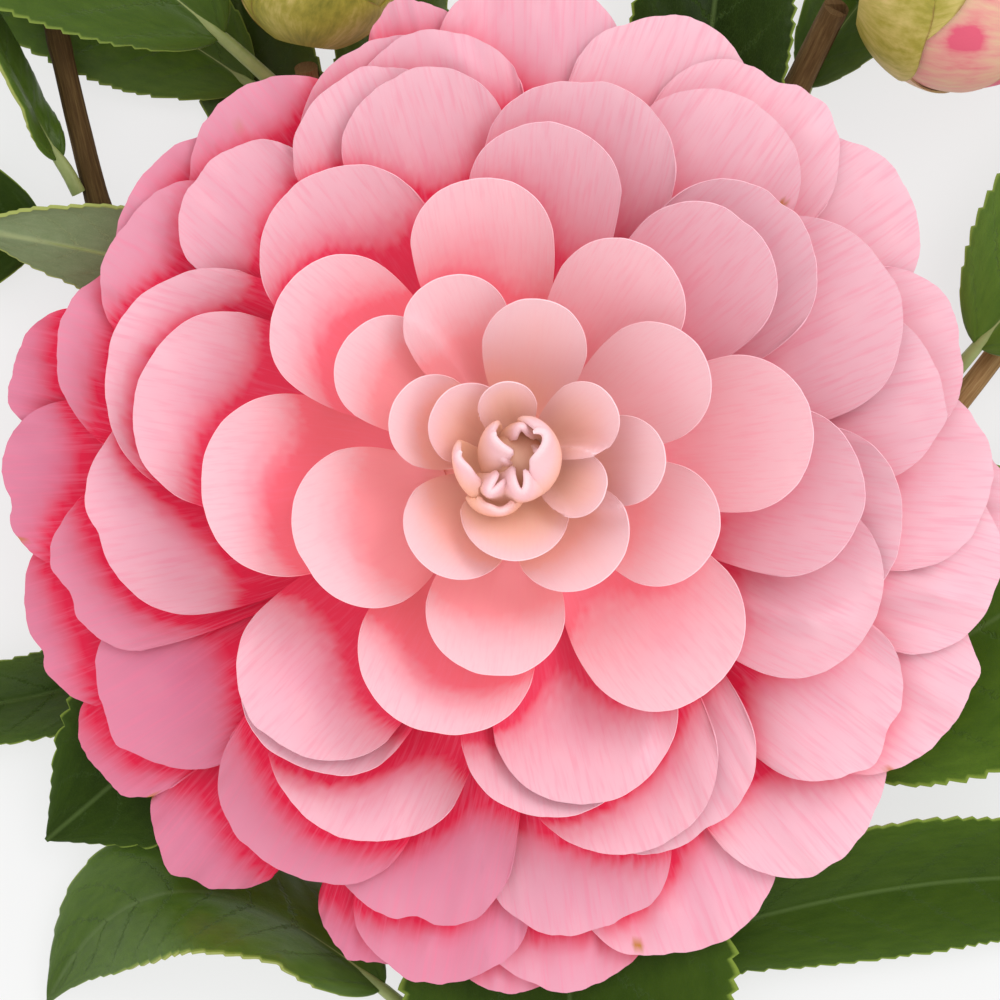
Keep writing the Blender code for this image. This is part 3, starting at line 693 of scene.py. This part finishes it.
leaf = {
    "rows": 132, "columns": 20, "thickness": 0.42, "petioleShare": 0.11, "petioleRadius": 0.8,
    "ribRows": 36, "ribSides": 8, "ribEnd": 0.93, "bladeEnd": 0.994, "least": 0.3, "lowest": 0.45,
    "tipFrom": 0.78, "tipRun": 0.22, "groove": 0.30, "grooveWidth": 0.55,
    "veinRise": 0.16, "wave": 0.8, "edgeRoll": 0.35,
    "matt": ("leaf_serrated", "leaf_top", "leaf_bottom", "leaf_right", "leaf_lower_right",
             "leaf_left_dark"),
    # as many teeth as this on a leaf of toothLength, mm; coarse ones are deeper
    "veinPairs": 9.0, "teeth": 33, "toothLength": 70, "toothDepth": 0.05, "toothSlope": 1.3,
    "coarse": {"leaf_serrated": 1.8},
    # foot, middle, tip, width, roll at the foot, roll at the tip, fold, then the look:
    # how bright, how yellow, how wavy
    "table": {
        "leaf_top_left": (
            (-25, 39.8, 7.4), (-54, 61.5, 15.5), (-84, 74, 9.5), 25, -8, -8, 7, 0.55, 0.3, 0.5),
        "leaf_top_left_low": (
            (-24.4, 37.4, 3.4), (-45, 50.5, 2.4), (-69, 57, 0.5), 18, 0, 0, 4, 0.75, 0.5, 0.3),
        "leaf_behind_bud": (
            (-17.2, 21, 3), (-27.6, 41, 1.2), (-30.5, 56, 0.6), 14, 0, 0, 3, 0.35, 0.3, 0.2),
        "leaf_by_bud": (
            (-17.4, 33, 3.4), (-13.4, 46.4, 1.4), (-10, 61, 0.6), 12, 0, 0, 3, 0.45, 0.3, 0.2),
        "leaf_left_narrow": (
            (-47, 29, 6.6), (-54.8, 44.2, 8.6), (-62, 58, 7.8), 9, 74, 74, 10, 0.55, 0.5, 0.2),
        "leaf_left_dark": (
            (-46.9, 24.8, 4), (-66, 25.5, 2.8), (-87, 24, 0.7), 18, 0, 0, 4, 0.1, 0.1, 0.3),
        "leaf_left_pale": (
            (-14.6, 15.2, 8.8), (-38.5, 21.4, 11), (-60, 25.6, 8), 12, 148, 148, 5, 0.4, 0.3, 0.5),
        "leaf_left_low": (
            (-27.6, -12.4, 3.2), (-51, -25, 2.2), (-81, -25.5, 0.6), 11, 0, 0, 30, 0.35, 0.35, 0.3),
        "leaf_serrated": (
            (-10.4, -7, 7.2), (-32, -25, 9.4), (-51, -41, 4.4), 27, 0, 0, 4, 0.12, 0.2, 0.7),
        "leaf_arched": (
            (-7.8, -63, 3.4), (-33.5, -45.8, 9.4), (-51.2, -59, 1.6), 20, 66, 26, 8, 0.62, 0.4, 0.5),
        "leaf_bottom": (
            (2.6, -12, 7.4), (5.6, -54, 8.4), (6.6, -93, 2.6), 37, 0, 0, 5, 0.25, 0.2, 0.5),
        "leaf_lower_right": (
            (-0.2, -58, 2.8), (43, -45.6, 6.2), (75, -48, 2), 16.5, 24, 24, 6, 0.3, 0.3, 0.6),
        "leaf_right": (
            (20.2, -28.4, 4.2), (51, -17, 8), (76, 6, 2), 31, -4, -4, 6, 0.55, 0.4, 0.4),
        "leaf_upper_right": (
            (45.6, 7.6, 4.8), (64.5, 28, 9), (86, 45, 3.2), 24, 0, 0, 7, 0.95, 0.7, 0.4),
        "leaf_top": (
            (16.2, 17.6, 7.2), (21.2, 48.5, 9.4), (24, 80, 3.2), 18, 0, 0, 6, 0, 0.1, 0.4),
        "leaf_top_right_low": (
            (29.9, 36.8, 3.2), (40.5, 53.2, 2), (60, 66, 0.5), 12, 0, 0, 4, 0.5, 0.4, 0.3),
    },
}


def leafFrame(spec, along):
    # middle line of a leaf with its sideways and upward directions
    foot, middle, tip = (np.array(p, float) for p in spec[:3])
    footRoll, tipRoll = spec[4:6]
    bend = 2 * middle - (foot + tip) / 2
    t = along[:, None]
    line = (1 - t) ** 2 * foot + 2 * t * (1 - t) * bend + t ** 2 * tip
    ahead = 2 * (1 - t) * (bend - foot) + 2 * t * (tip - bend)
    ahead /= np.linalg.norm(ahead, axis=1)[:, None]
    level = np.cross((0.0, 0.0, 1.0), ahead)
    level /= np.linalg.norm(level, axis=1)[:, None]
    up = np.cross(ahead, level)
    turn = np.radians(footRoll + (tipRoll - footRoll) * along) * np.minimum(1.0, along / 0.3)
    side = np.cos(turn)[:, None] * level + np.sin(turn)[:, None] * up
    return line, side, np.cross(ahead, side)


leafTint = {
    "under": {"skin": [(0.155, 0.21, 0.085), (0.25, 0.30, 0.16)],
              "vein": (0.33, 0.38, 0.18), "rib": (0.42, 0.47, 0.22), "rim": (0.34, 0.38, 0.10)},
    "top": {"dark": [(0.008, 0.019, 0.001), (0.020, 0.040, 0.002)],
            "lit": [(0.045, 0.11, 0.004), (0.12, 0.21, 0.012)],
            "warm": [(0.07, 0.14, 0.012), (0.14, 0.24, 0.03)],
            "vein": (0.045, 0.085, 0.014), "rib": (0.10, 0.155, 0.04), "rim": (0.20, 0.28, 0.04)},
    "stalk": [(0.20, 0.26, 0.07), (0.33, 0.37, 0.13)],
}


def leafFinish(name, face, roughness, sheen):
    n = Nodes(name)
    tint = leafTint[face]
    side = n.value("side")       # 0 midrib, 1 margin
    grain = n.fibre("leafMap")
    patches = n.noise(grain, 16.0, 3.0, 0.6)
    # course counts the side veins
    bent = n.maths("ADD", n.value("course"), n.maths("MULTIPLY", n.noise(grain, 60.0, 3.0), 0.5))
    gap = n.maths("ABSOLUTE", n.maths("SUBTRACT", n.maths("FRACT", bent), 0.5))
    vein = n.maths("POWER", n.maths("MULTIPLY", gap, 2.0), 26.0)
    vein = n.maths("MULTIPLY", vein, n.maths("SUBTRACT", 1.0, n.maths("POWER", side, 3.0)))
    web = n.add("ShaderNodeTexVoronoi", feature="DISTANCE_TO_EDGE", Scale=110.0)
    n.join(grain, web.inputs["Vector"])
    net = n.maths("LESS_THAN", web.outputs["Distance"], 0.06)
    if face == "under":
        skin = n.mix(patches, *tint["skin"])
    else:
        skin = n.mix(n.value("bright"), n.mix(patches, *tint["dark"]), n.mix(patches, *tint["lit"]))
        margin = n.maths("MULTIPLY", n.value("yellow"), n.maths("POWER", side, 2.0))
        skin = n.mix(margin, skin, n.mix(patches, *tint["warm"]))
    colour = n.mix(n.maths("MULTIPLY", net, 0.22), skin, tint["vein"])
    colour = n.mix(n.maths("MULTIPLY", vein, 0.75), colour, tint["vein"])
    # near is the distance from the midrib, in mm over 10
    rib = n.ramp(n.value("near"), [(0.0, (0.6, 0.6, 0.6)), (0.015, (0.42, 0.42, 0.42)),
                                   (0.035, black)])
    colour = n.mix(rib, colour, tint["rib"])
    edgeLine = n.ramp(side, [(0.0, black), (0.955, black), (0.985, white)])
    colour = n.mix(edgeLine, colour, tint["rim"])
    relief = n.maths("SUBTRACT", n.maths("MULTIPLY", patches, 0.6), vein)
    relief = n.maths("SUBTRACT", relief, n.maths("MULTIPLY", net, 0.25))
    return n.finish(colour, roughness, sheen, n.bump(relief, 0.00016, 0.55))


def bladeWidth(name, width, length, seed, across, along):
    # how full the leaf is, and half its width with the teeth bitten out of the margin
    body = np.sin(math.pi * unit(along) ** 0.82) ** 0.72
    drawn = unit((along - leaf["tipFrom"]) / leaf["tipRun"])
    body = body * (1 - 0.5 * drawn ** 1.5)   # drawn out to a point
    half = np.maximum(width / 2 * body, leaf["least"])
    teeth = along * leaf["teeth"] * length / leaf["toothLength"]
    teeth = (teeth + 0.6 * ripple(seed + 5, along * 6.3, 3.0)) % 1.0
    deep = leaf["toothDepth"] * (1 + 0.5 * ripple(seed + 6, along * 6.3, 5.0))
    deep = deep * leaf["coarse"].get(name, 1.0)
    bite = deep * (1 - teeth) ** leaf["toothSlope"] * unit(along / 0.12)
    return body, half * (1 - bite * np.abs(across) ** 6)


def bladeLift(far, across, along, course, body, fold, wavy, seed):
    # how far every point stands off the plane of the leaf
    out = np.abs(across)
    lift = (np.sqrt(far ** 2 + 0.5) - 0.7) * math.sin(fold)
    lift = lift - leaf["groove"] * np.exp(-(far / leaf["grooveWidth"]) ** 2)
    veins = leaf["veinRise"] * np.abs(np.sin(math.pi * course)) ** 0.7
    lift = lift + veins * (1 - out ** 4) * unit(far / 3)
    sway = ripple(seed, along * 6.3, 2.2) * np.where(across > 0, 1, -0.7)
    lift = lift + wavy * leaf["wave"] * sway * out ** 2 * unit(body * 1.5 - 0.3)
    return lift - leaf["edgeRoll"] * out ** 7


def makeRib(name, spec, material):
    # stalk and midrib in one, standing out under the blade
    share = np.linspace(0, leaf["ribEnd"], leaf["ribRows"])
    middle, _, above = leafFrame(spec, share)
    radii = np.interp(share, [0, 0.1, 0.2, leaf["ribEnd"]], [leaf["petioleRadius"], 0.72, 0.4, 0.12])
    room = np.maximum(0.13, middle[:, 2] / 2 - 0.12)     # low leaves have little room under them
    radii = np.where(share > 0.13, np.minimum(radii, room), radii)
    sunk = (leaf["thickness"] + 0.6 * radii) * unit((share - 0.06) / 0.1)
    middle = middle - above * sunk[:, None]
    middle[:, 2] = np.maximum(middle[:, 2], radii + 0.02)
    return makeTube(name + "Rib", middle, radii, leaf["ribSides"], material)


def makeLeaf(name, spec, top, under, stalk):
    foot, _, tip, width, _, _, fold, bright, yellow, wavy = spec
    seed = len(name) * 17 + int(width * 3)
    fold = math.radians(fold)
    piece, across, along = addSheet(name + "Blade", leaf["columns"], leaf["rows"])
    across = np.sign(across) * np.abs(across) ** 0.8   # closer rows beside the margin
    out = np.abs(across)
    run = leaf["bladeEnd"] - leaf["petioleShare"]
    line, side, up = leafFrame(spec, leaf["petioleShare"] + run * along)
    length = np.linalg.norm(np.array(tip) - np.array(foot))
    body, half = bladeWidth(name, width, length, seed, across, along)
    far = out * half
    course = leaf["veinPairs"] * (along - 0.15 * out - 0.05 * out ** 3)
    lift = bladeLift(far, across, along, course, body, fold, wavy, seed)
    points = line + side * (across * half * math.cos(fold))[:, None] + up * lift[:, None]
    points[:, 2] = np.maximum(points[:, 2], leaf["lowest"])
    movePoints(piece, points)
    paint(piece, side=out, course=course, near=far / 10, bright=bright, yellow=yellow)
    piece.data.materials.append(top)
    piece.data.materials.append(under)
    thicken(piece, leaf["thickness"], underSlot=1)
    joinPieces([piece, makeRib(name, spec, stalk)])
    settle(piece, 50, name)


def tubeRings(route):
    # directions square to the route, turned as little as can be from ring to ring
    ahead = np.gradient(route, axis=0)
    ahead /= np.linalg.norm(ahead, axis=1)[:, None]
    side = np.cross(ahead[0], (0.0, 0.0, 1.0))
    if np.linalg.norm(side) < 0.2:
        side = np.cross(ahead[0], (1.0, 0.0, 0.0))
    sides, ups = [], []
    for tangent in ahead:
        side = side - tangent * side.dot(tangent)
        side /= np.linalg.norm(side)
        sides.append(side)
        ups.append(np.cross(side, tangent))
    return np.array(sides), np.array(ups)


def makeTube(name, route, radii, sides, material, relief=None):
    rows = len(route) - 1
    piece, across, along = addSheet(name, sides, rows)
    turn = math.pi * (across + 1)
    ring = np.clip(np.round(along * rows).astype(int), 0, rows)
    side, up = tubeRings(route)
    reach = radii[ring]
    if relief is not None:
        reach = reach * (1 + relief(turn, along))
    points = route[ring] + side[ring] * (reach * np.cos(turn))[:, None]
    points = points - up[ring] * (reach * np.sin(turn))[:, None]
    movePoints(piece, points)
    piece.data.materials.append(material)
    closeTube(piece)
    return piece


def makeLeaves():
    glossy = leafFinish("leafTop", "top", 0.33, 0.38)
    deep = leafFinish("leafDeep", "top", 0.33, 0.12)
    under = leafFinish("leafUnder", "under", 0.55, 0.2)
    n = Nodes("leafStalk")
    fleck = n.noise(n.places(), 900.0, 3.0)
    stalk = n.finish(n.mix(fleck, *leafTint["stalk"]), 0.5)
    for name, spec in leaf["table"].items():
        makeLeaf(name, spec, deep if name in leaf["matt"] else glossy, under, stalk)
    print("leaves:", len(leaf["table"]))


stem = {
    "sides": 20, "rows": 90, "freeTips": ("left_twig", "low_right_twig"),
    "youngBark": ("low_right_twig", "flower_stalk"),
    # swollen rings where leaves once sat: from, to, how many, height and width
    "scars": (0.16, 0.86, 5), "scarHeight": 0.13, "scarWidth": 0.011,
    "cutBeyond": -0.07,    # faces farther down the stem than this are the flat cut, m
    # start and end radius, points of the route, how young the bark is
    "table": {
        "main_stem": (2.4, 1.95, [(-6.5, -82.5, 2.4), (-4.9, -68.6, 2.9), (-2.8, -47.0, 4.0),
                                  (-1.2, -29.8, 4.9), (-0.1, -14.8, 5.2), (0.1, -8.8, 5.4)], 0.2),
        "flower_stalk": (1.95, 2.2, [(0.1, -8.4, 5.5), (0.1, -4.6, 5.6), (0.0, -1.6, 6.2),
                                     (0.0, -0.1, 7.6), (0.0, 0.0, 8.7)], 0.9),
        "left_twig": (1.75, 1.2, [(-6.2, -32.6, 4.9), (-18, -20, 5.2), (-31, -2, 5.2),
                                  (-40.4, 14, 5.2), (-44.5, 26.1, 5.4), (-49.4, 46.2, 6.0),
                                  (-52.3, 59.5, 6.0)], 0.12),
        "right_twig": (1.75, 1.5, [(4.0, -21.6, 5.4), (10, -6, 5.6), (18.7, 14.3, 5.8),
                                   (26.1, 31.5, 6.2), (29.7, 39.4, 6.8), (33.0, 46.2, 9.0),
                                   (34.2, 48.6, 11.2)], 0.25),
        "low_right_twig": (1.7, 1.15, [(3.2, -38.0, 4.4), (15, -29, 4.0), (30, -14.5, 3.6),
                                       (41.3, -1.8, 3.2), (48.3, 7.1, 3.0), (52.1, 12.1, 2.9),
                                       (61.2, 24.5, 2.8)], 0.95),
        "bud_shoot": (1.6, 1.3, [(-4.2, -11.6, 5.6), (-9, 0, 5.6), (-14.6, 19, 5.6),
                                 (-20.2, 33, 5.8), (-22.0, 39.0, 6.6), (-22.5, 42.4, 8.6)], 0.5),
    },
}


barkTint = {
    "old": [(0.25, (0.014, 0.008, 0.003)), (0.5, (0.040, 0.022, 0.005)),
            (0.75, (0.10, 0.060, 0.015))],
    "fresh": [(0.25, (0.20, 0.10, 0.035)), (0.5, (0.36, 0.21, 0.085)),
              (0.75, (0.50, 0.34, 0.16))],
    "blotch": (0.12, 0.07, 0.035), "cut": [(0.52, 0.38, 0.20), (0.68, 0.56, 0.36)],
}


def barkFinish():
    n = Nodes("barkSkin")
    streak = n.noise(n.fibre("leafMap", (9, 6, 1)), 3.0, 6.0, 0.65)
    blotch = n.noise(n.places(), 260.0, 3.0)
    old, fresh = (n.ramp(streak, barkTint[age]) for age in ("old", "fresh"))
    colour = n.mix(n.value("young"), old, fresh)
    colour = n.mix(n.maths("MULTIPLY", blotch, 0.2), colour, barkTint["blotch"])
    return n.finish(colour, 0.7, 0.08, n.bump(streak, 0.0002, 0.8))


def cutFinish():
    n = Nodes("cutWood")
    rings = n.add("ShaderNodeTexWave", wave_type="RINGS", Scale=700.0, Distortion=2.0)
    n.join(n.places(), rings.inputs["Vector"])
    return n.finish(n.mix(rings.outputs["Fac"], *barkTint["cut"]), 0.5)


def makeStem(name, bark, cut):
    start, end, points, young = stem["table"][name]
    seed = len(name) * 5
    share = np.linspace(0, 1, stem["rows"])
    radii = start + (end - start) * share
    if name in stem["freeTips"]:
        # a free tip rounds off
        radii = radii * np.sqrt(np.clip(1 - ((share - 0.97) / 0.031).clip(0, 1) ** 2, 0.02, 1))
    for place in np.linspace(*stem["scars"]):
        radii = radii + stem["scarHeight"] * np.exp(-((share - place) / stem["scarWidth"]) ** 2)

    def relief(turn, along):
        ridges = 0.022 * ripple(seed, turn * 3 + along * 5, 3.0)
        lumps = 0.02 * ripple(seed + 3, along * 40, 2.0) * np.cos(turn + along * 9)
        return ridges + lumps - 0.05

    route = smoothRoute(points, stem["rows"])
    piece = makeTube(name + "Bark", route, radii, stem["sides"], bark, relief)
    paint(piece, young=young)
    if name == "main_stem":
        piece.data.materials.append(cut)
        for face in piece.data.polygons:
            if len(face.vertices) > 4 and face.center.y < stem["cutBeyond"]:
                face.material_index = 1
    settle(piece, 50, name)


def makeStems():
    bark, cut = barkFinish(), cutFinish()
    for name in stem["table"]:
        makeStem(name, bark, cut)
    print("stems:", len(stem["table"]))


bud = {
    "rows": 22, "columns": 26, "coreGrid": 24, "first": 0.02, "core": 0.96, "within": 0.86,
    "thickness": 0.24, "stepOut": 0.17, "footOut": 0.32, "tipOut": 0.12, "close": 0.16,
    # a deep pink patch beside the right bud's seam: middle, half size, least height, strength
    "patch": ((47.2, 44.2), (1.9, 1.2), 12, 0.6),
    # foot, tip, radius, then its scales from the inside out:
    # bearing round the bud, half spread, how far up they reach, tint
    "table": {
        "bud_left": ((-22.5, 44.4, 10.2), (-18.6, 66.3, 14.0), 9.2,
                     [(80, 100, 0.985, 0.55), (265, 100, 0.98, 0.5), (0, 85, 0.88, 0.35),
                      (175, 88, 0.86, 0.3), (50, 80, 0.70, 0.2), (232, 78, 0.68, 0.45),
                      (318, 74, 0.50, 0.22), (130, 76, 0.50, 0.18), (75, 78, 0.30, 0.2),
                      (255, 80, 0.30, 0.34)]),
        "bud_right": ((36.2, 50.3, 13.2), (60.2, 46.8, 14.6), 9.8,
                      [(80, 100, 0.985, 1.0), (265, 100, 0.98, 0.9), (350, 85, 0.90, 0.95),
                       (170, 88, 0.88, 0.75), (60, 84, 0.74, 0.72), (222, 78, 0.72, 0.6),
                       (305, 74, 0.52, 0.55), (118, 76, 0.50, 0.36), (70, 88, 0.34, 0.28),
                       (245, 80, 0.30, 0.2)]),
    },
}


budTint = {
    "skin": [(0.0, (0.17, 0.17, 0.02)), (0.2, (0.36, 0.31, 0.045)), (0.4, (0.58, 0.46, 0.15)),
             (0.58, (0.68, 0.48, 0.29)), (0.76, (0.70, 0.31, 0.26)), (0.95, (0.70, 0.10, 0.17))],
    "brown": (0.24, 0.12, 0.035), "dust": (0.30, 0.17, 0.05),
}


def scaleFinish():
    n = Nodes("budSkin")
    streak = n.noise(n.fibre("leafMap", (14, 2, 1)), 2.0, 4.0, 0.6)
    spot = n.noise(n.places(), 420.0, 3.0)
    shift = n.value("tint")
    for cloud in (streak, n.noise(n.places(), 170.0, 1.0)):
        shift = n.maths("ADD", shift, n.maths("MULTIPLY", n.maths("SUBTRACT", cloud, 0.5), 0.5))
    colour = n.ramp(shift, budTint["skin"])
    brown = n.ramp(n.maths("MULTIPLY", n.value("rim"), n.maths("ADD", spot, 0.45)),
                   [(0.0, black), (0.75, black), (1.0, white)])
    colour = n.mix(n.maths("MULTIPLY", brown, 0.7), colour, budTint["brown"])
    dust = n.ramp(spot, [(0.0, white), (0.34, black), (1.0, black)])
    colour = n.mix(n.maths("MULTIPLY", dust, 0.5), colour, budTint["dust"])
    return n.finish(colour, 0.5, 0.3, n.bump(streak, 0.00012, 0.6))


def budPoints(spec, bearing, share, extra):
    foot, tip, radius = spec[:3]
    foot = np.array(foot)
    axis = np.array(tip) - foot
    ahead = axis / np.linalg.norm(axis)
    side = np.cross(ahead, (0.0, 0.0, 1.0))
    side /= np.linalg.norm(side)
    up = np.cross(side, ahead)
    egg = radius * np.sin(math.pi * unit(share) ** 0.86) ** 0.62
    reach = np.maximum(egg * bud["within"] + extra, 0.05)
    turn = np.radians(bearing)
    return (foot + share[:, None] * axis + side * (reach * np.cos(turn))[:, None]
            + up * (reach * np.sin(turn))[:, None])


def pinkPatch(points):
    (x, y), (wide, deep), least, strength = bud["patch"]
    patch = np.exp(-((points[:, 0] - x) / wide) ** 2 - ((points[:, 1] - y) / deep) ** 2)
    return strength * patch * (points[:, 2] > least)


def makeBudScale(name, number, spec, scale):
    bearing, spread, reach, tint = scale
    piece, across, along = addSheet(f"{name}Scale{number}", bud["columns"], bud["rows"])
    first = bud["first"]
    share = first + along * (reach - first) * (1 - 0.34 * np.abs(across) ** 2.4)
    wobble = ripple(number * 7 + len(name), across * 3, 2.5) * 0.012 * along ** 4
    share = np.clip(share + wobble, 0, 0.995)
    angle = bearing + across * spread * (0.8 + 0.2 * np.sin(math.pi * along))
    rim = np.maximum(np.abs(across) ** 5, along ** 9)
    extra = bud["footOut"] + bud["stepOut"] * number + bud["tipOut"] * along ** 5
    points = budPoints(spec, angle, share, extra - bud["close"] * rim)
    movePoints(piece, points)
    if name == "bud_right":
        tint = tint + pinkPatch(points)
    paint(piece, tint=tint, rim=unit(rim))
    thicken(piece, bud["thickness"])
    return piece


def makeBud(name, material):
    spec = bud["table"][name]
    body, across, along = addSheet(name + "Core", bud["coreGrid"], bud["coreGrid"])
    movePoints(body, budPoints(spec, 180 * across, bud["first"] + bud["core"] * along, 0.0))
    closeTube(body)
    paint(body, tint=0.6, rim=0.0)
    scales = [makeBudScale(name, k, spec, scale) for k, scale in enumerate(spec[3])]
    joinPieces([body] + scales)
    body.name = name + "Scales"
    settle(body, 60, name, material)


calyx = {
    "profile": [(2.6, -1.5), (5.2, -0.6), (8.4, 0.6), (11.6, 2.2), (12.9, 3.1)],
    "sepals": [(0, 38), (118, 38), (242, 38), (60, 40), (178, 40), (300, 40)],
    "rows": 18, "columns": 20, "thickness": 0.45, "footReach": 1.2, "tipReach": 12.6,
}


def makeSepal(number, bearing, spread):
    # the first three lie outside the others
    piece, across, along = addSheet(f"sepal{number}", calyx["columns"], calyx["rows"])
    radii, heights = zip(*calyx["profile"])
    length = calyx["tipReach"] - calyx["footReach"]
    reach = calyx["footReach"] + along * length * (1 - 0.22 * np.abs(across) ** 2.6)
    angle = np.radians(bearing + across * spread * (1.25 - 0.3 * along))
    height = np.interp(reach, radii, heights) - 0.1 * (number // 3) + 0.25 * along ** 4
    height = height + bloomLift
    movePoints(piece, np.stack([reach * np.cos(angle), reach * np.sin(angle), height], axis=1))
    paint(piece, tint=0.12 + 0.06 * (number % 3), rim=np.maximum(np.abs(across) ** 6, along ** 8))
    thicken(piece, calyx["thickness"], 1.0 if number < 3 else 0.6)
    return piece


def makeCalyx(material):
    sepals = [makeSepal(k, *sepal) for k, sepal in enumerate(calyx["sepals"])]
    joined = joinPieces(sepals)
    joined.name = "sepals"
    settle(joined, 60, "calyx", material)


makeLeaves()
makeStems()
budSkin = scaleFinish()
for budName in bud["table"]:
    makeBud(budName, budSkin)
makeCalyx(budSkin)
print("buds and calyx made")


studio = {
    "floor": (0.2, 0.202, 0.2), "floorSize": 6.0, "floorGlow": 0.70, "world": 1.11,
    # what glossy leaves see of the room: between these heights it goes from bright to dim
    "roomHeight": (0.25, 0.8), "roomLight": (0.9, 0.12),
    "keyPlace": (0.5, 0.42, 0.8), "keySize": 0.6, "keyPower": 2.4,
    "cameraPlace": (-0.00144, 0.00246, 0.621), "lens": 205.7, "sensor": 36, "nearest": 0.01,
    "bounces": 4, "diffuseBounces": 2,
}


def makeFloor():
    deselectAll()
    bpy.ops.mesh.primitive_plane_add(size=studio["floorSize"], location=(0, 0, 0))
    floor = bpy.context.object
    floor.name = "floor"
    n = Nodes("floorPaint")
    n.glow(white, studio["floorGlow"])
    floor.data.materials.append(n.finish(studio["floor"], 0.9, 0.1))


def makeRoom():
    world = bpy.data.worlds.new("softRoom")
    bpy.context.scene.world = world
    world.cycles.sampling_method = "NONE"   # it is nearly even, so it needs no aiming
    n = Nodes(world, "Background")
    # glossy leaves see a room that darkens overhead, so level leaves stay deep in colour
    low, high = studio["roomHeight"]
    bright, dim = studio["roomLight"]
    split = n.add("ShaderNodeSeparateXYZ")
    band = n.add("ShaderNodeMapRange", From_Min=low, From_Max=high, To_Min=bright, To_Max=dim)
    pick = n.add("ShaderNodeMix")
    pick.inputs[2].default_value = 1.0
    n.join(n.add("ShaderNodeTexCoord").outputs["Generated"], split.inputs[0])
    n.join(split.outputs[2], band.inputs["Value"])
    n.join(n.add("ShaderNodeLightPath").outputs["Is Glossy Ray"], pick.inputs[0])
    n.join(band.outputs[0], pick.inputs[3])
    n.join(pick.outputs[0], n.shader.inputs["Color"])
    n.shader.inputs["Strength"].default_value = studio["world"]


def makeKeyLight():
    bpy.ops.object.light_add(type="AREA", location=studio["keyPlace"])
    key = bpy.context.object
    key.name = "key"
    key.data.shape = "DISK"
    key.data.size = studio["keySize"]
    key.data.energy = studio["keyPower"]
    key.rotation_mode = "QUATERNION"
    key.rotation_quaternion = (-Vector(studio["keyPlace"])).to_track_quat("-Z", "Y")


def makeCamera():
    bpy.ops.object.camera_add(location=studio["cameraPlace"], rotation=(0, 0, 0))
    camera = bpy.context.object
    camera.data.lens = studio["lens"]
    camera.data.sensor_width = studio["sensor"]
    camera.data.clip_start = studio["nearest"]
    scene = bpy.context.scene
    scene.camera = camera
    # few bounces are enough for open petals on a pale floor
    scene.cycles.max_bounces = studio["bounces"]
    scene.cycles.diffuse_bounces = studio["diffuseBounces"]
    scene.cycles.caustics_reflective = False
    scene.cycles.caustics_refractive = False
    scene.view_settings.view_transform = "Standard"


makeFloor()
makeRoom()
makeKeyLight()
makeCamera()
print("floor, light and camera set")
